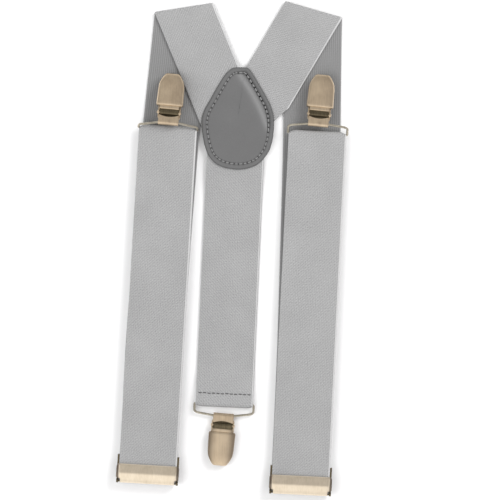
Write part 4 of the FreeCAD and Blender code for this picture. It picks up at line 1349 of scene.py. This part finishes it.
# %% Lids in place
LID_SIDE_REFLECTION = {"left": 0.05, "right": 0.1, "back": 0.6}  # painted dark reflection along the sides
for side in CLIPS:
    shape = lid_shape()
    # The lid's sides take a painted dark reflection, strongest on the back clip.
    sides = LID_SIDE_REFLECTION[side] * smooth_step((np.abs(shape[0][:, 0]) - 2.5) / 5.5)
    piece = add_piece(side + "_flip_lid", shape, clip_frame(side), side + "_lid",
                      BRASS, values={"edge": sides}, sharp=40)
    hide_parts(side + "_clip_lid")
    # The barrel takes the shaded brass, painted shade under the ledge.
    add_piece(side + "_lid_barrel", barrel_shape(), clip_frame(side), side + "_lid",
              SHADED_BRASS)

# %% [markdown]
# The adjuster's lever is a roof of two flat facets bent from one sheet.  Its lower edge is
# rolled round the pin, and a row of teeth beneath it bites the webbing when it is shut.

# %% Adjuster levers
LEVER_WIDTH = 38.2  # covers the rails of the frame
LEVER_PIN = (LEVER_ALONG, 8.0)
HEEL_HALF = 16.6  # half width of the rolled heel, which fits between the rails
END_DROP = 1.5  # the lever's two ends slope down over the rails, mm
END_FROM = 17.2  # the slope and its painted dark reflection start this far from the middle, mm
TEETH, TEETH_HALF = 45, 16.5
TOOTH_ROOT, TOOTH_TIP = 7.9, 7.15


def lever_shape():
    """Rolled heel, two facets with a soft ridge, a turned-down free edge, and teeth."""
    heel = arc_path(LEVER_PIN, 0.72, -60, -250, 14)
    roof = eased_path([(1.6, 8.72), (2.6, 8.85), (6.5, 9.9), (11.6, 8.25), (11.95, 7.9)], 0.25, 2)
    path = np.concatenate([heel, roof])
    low = np.clip((path[:, 0] - 3.0) / 0.8, 0.0, 1.0)
    halves = HEEL_HALF + (LEVER_WIDTH / 2 - HEEL_HALF) * low ** 0.5
    tip = np.clip((path[:, 0] - 10.3) / 1.7, 0.0, 1.0)
    halves = halves - 1.4 * (1 - np.sqrt(1 - tip ** 2))
    grid = path_grid(path, halves, 61)
    end = smooth_step((np.abs(grid[..., 0]) - END_FROM) / 1.1)
    grid[..., 2] -= END_DROP * end * np.clip((grid[..., 1] - 2.6) / 1.0, 0.0, 1.0)
    parts = [strip(grid, SHEET, 0.4)]
    saw_x = np.linspace(-TEETH_HALF, TEETH_HALF, TEETH)
    saw = np.where(np.arange(TEETH) % 2 == 0, TOOTH_ROOT, TOOTH_TIP)
    top = np.array([(TEETH_HALF, 9.2), (-TEETH_HALF, 9.2)])
    outline = ccw(np.concatenate([np.stack([saw_x, saw], axis=1), top]))
    parts.append(plate(outline, 4.6, 5.2, 0.03, axes=(0, 2, 1)))
    return merged(*parts)


for side in SIDES:
    shape = lever_shape()
    # The lever's sloping ends take a painted dark reflection.
    dark_reflection_ends = smooth_step((np.abs(shape[0][:, 0]) - END_FROM) / 0.9)
    piece = add_piece(side + "_flip_lever", shape, adjuster_frame(side), side + "_lever",
                      LIT_BRASS, values={"edge": dark_reflection_ends * 0.85})
    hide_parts(side + "_adjuster_lever")
    # The adjuster frame and pin take the shaded brass, painted shade round the lever.
    for name in (side + "_adjuster_frame", side + "_adjuster_pin"):
        for spot in NODES[name].material_slots:
            spot.material = SHADED_BRASS
    print(side, "adjuster frame and pin take", SHADED_BRASS.name)

# %% [markdown]
# The table is a plain white floor.  One large soft light stands to the upper right and a
# weaker one to the left, so shadows stay short and soft.  Brushed metal shows what is above
# it, so the top of the sky is brighter to one side, as under a real lamp in a room.

# %% Floor
FLOOR_HALF, FLOOR_LEVEL = 3.0, -0.0004  # metres
floor_corners = [(x * FLOOR_HALF, y * FLOOR_HALF, FLOOR_LEVEL)
                 for x, y in ((-1, -1), (1, -1), (1, 1), (-1, 1))]
mesh = bpy.data.meshes.new("table")
mesh.from_pydata(floor_corners, [], [(0, 1, 2, 3)])
floor = bpy.data.objects.new("table", mesh)
bpy.context.scene.collection.objects.link(floor)
paint, _, paint_shader = new_material("table_white")
paint_shader.inputs["Base Color"].default_value = grey(0.92)
paint_shader.inputs["Roughness"].default_value = 0.9
mesh.materials.append(paint)
print("floor", 2 * FLOOR_HALF, "m wide")

# %% Light


def area_light(name, power, size, place, colour):
    """A square soft light at a place in metres, turned to face the object's middle.

    Metal doesn't mirror it, so that no plate shows a hard white square.
    """
    lamp = bpy.data.lights.new(name, "AREA")
    lamp.energy = power
    lamp.size = size
    lamp.color = colour
    made = bpy.data.objects.new(name, lamp)
    made.visible_glossy = False
    made.location = place
    direction = -np.array(place)
    pitch = math.acos(-direction[2] / np.linalg.norm(direction))
    yaw = math.atan2(direction[1], direction[0]) - math.pi / 2
    made.rotation_euler = (pitch, 0.0, yaw)
    bpy.context.scene.collection.objects.link(made)
    print(f"light {name}: {power} W, {size} m wide")


area_light("key", 9.5, 0.6, (0.72, 0.6, 0.9), (1.0, 1.0, 1.0))
area_light("fill", 6.5, 0.9, (-0.7, -0.2, 1.0), (0.985, 0.99, 1.0))

# %% Sky
SKY_STRENGTH = 0.86
SKY_STOPS = ((0.0, (0.55, 0.56, 0.58)), (0.25, (0.66, 0.66, 0.66)), (0.42, (1.12, 1.11, 1.09)),
             (0.5, (0.95, 0.94, 0.93)), (0.60, (0.68, 0.66, 0.67)), (0.8, (0.62, 0.61, 0.63)),
             (1.0, (0.85, 0.85, 0.86)))
world = bpy.data.worlds.new("studio")
world.use_nodes = True
sky = world.node_tree
way = node(sky, "TexCoord").outputs["Generated"]
parts = node(sky, "SeparateXYZ", {0: way}).outputs
ramp = sky.nodes.new("ShaderNodeValToRGB")
stops = ramp.color_ramp.elements
stops[0].color = (*SKY_STOPS[0][1], 1.0)
stops[1].color = (*SKY_STOPS[-1][1], 1.0)
for at, colour in SKY_STOPS[1:-1]:
    stops.new(at).color = (*colour, 1.0)
sky.links.new(sums(sky, "MULTIPLY_ADD", parts["X"], 0.5, 0.5), ramp.inputs[0])
south = sums(sky, "MULTIPLY_ADD", parts["Y"], -0.60, 1.0)
overhead = node(sky, "Mix", {0: 1.0, 6: ramp.outputs[0], 7: south},
                data_type="RGBA", blend_type="MULTIPLY").outputs[2]
high = node(sky, "MapRange", {"Value": parts["Z"], "From Min": 0.35, "From Max": 0.6})
dome = blend(sky, high.outputs[0], grey(0.95), overhead)
background = sky.nodes["Background"]
sky.links.new(dome, background.inputs["Color"])
background.inputs["Strength"].default_value = SKY_STRENGTH
bpy.context.scene.world = world
print("sky", world.name, "strength", SKY_STRENGTH)
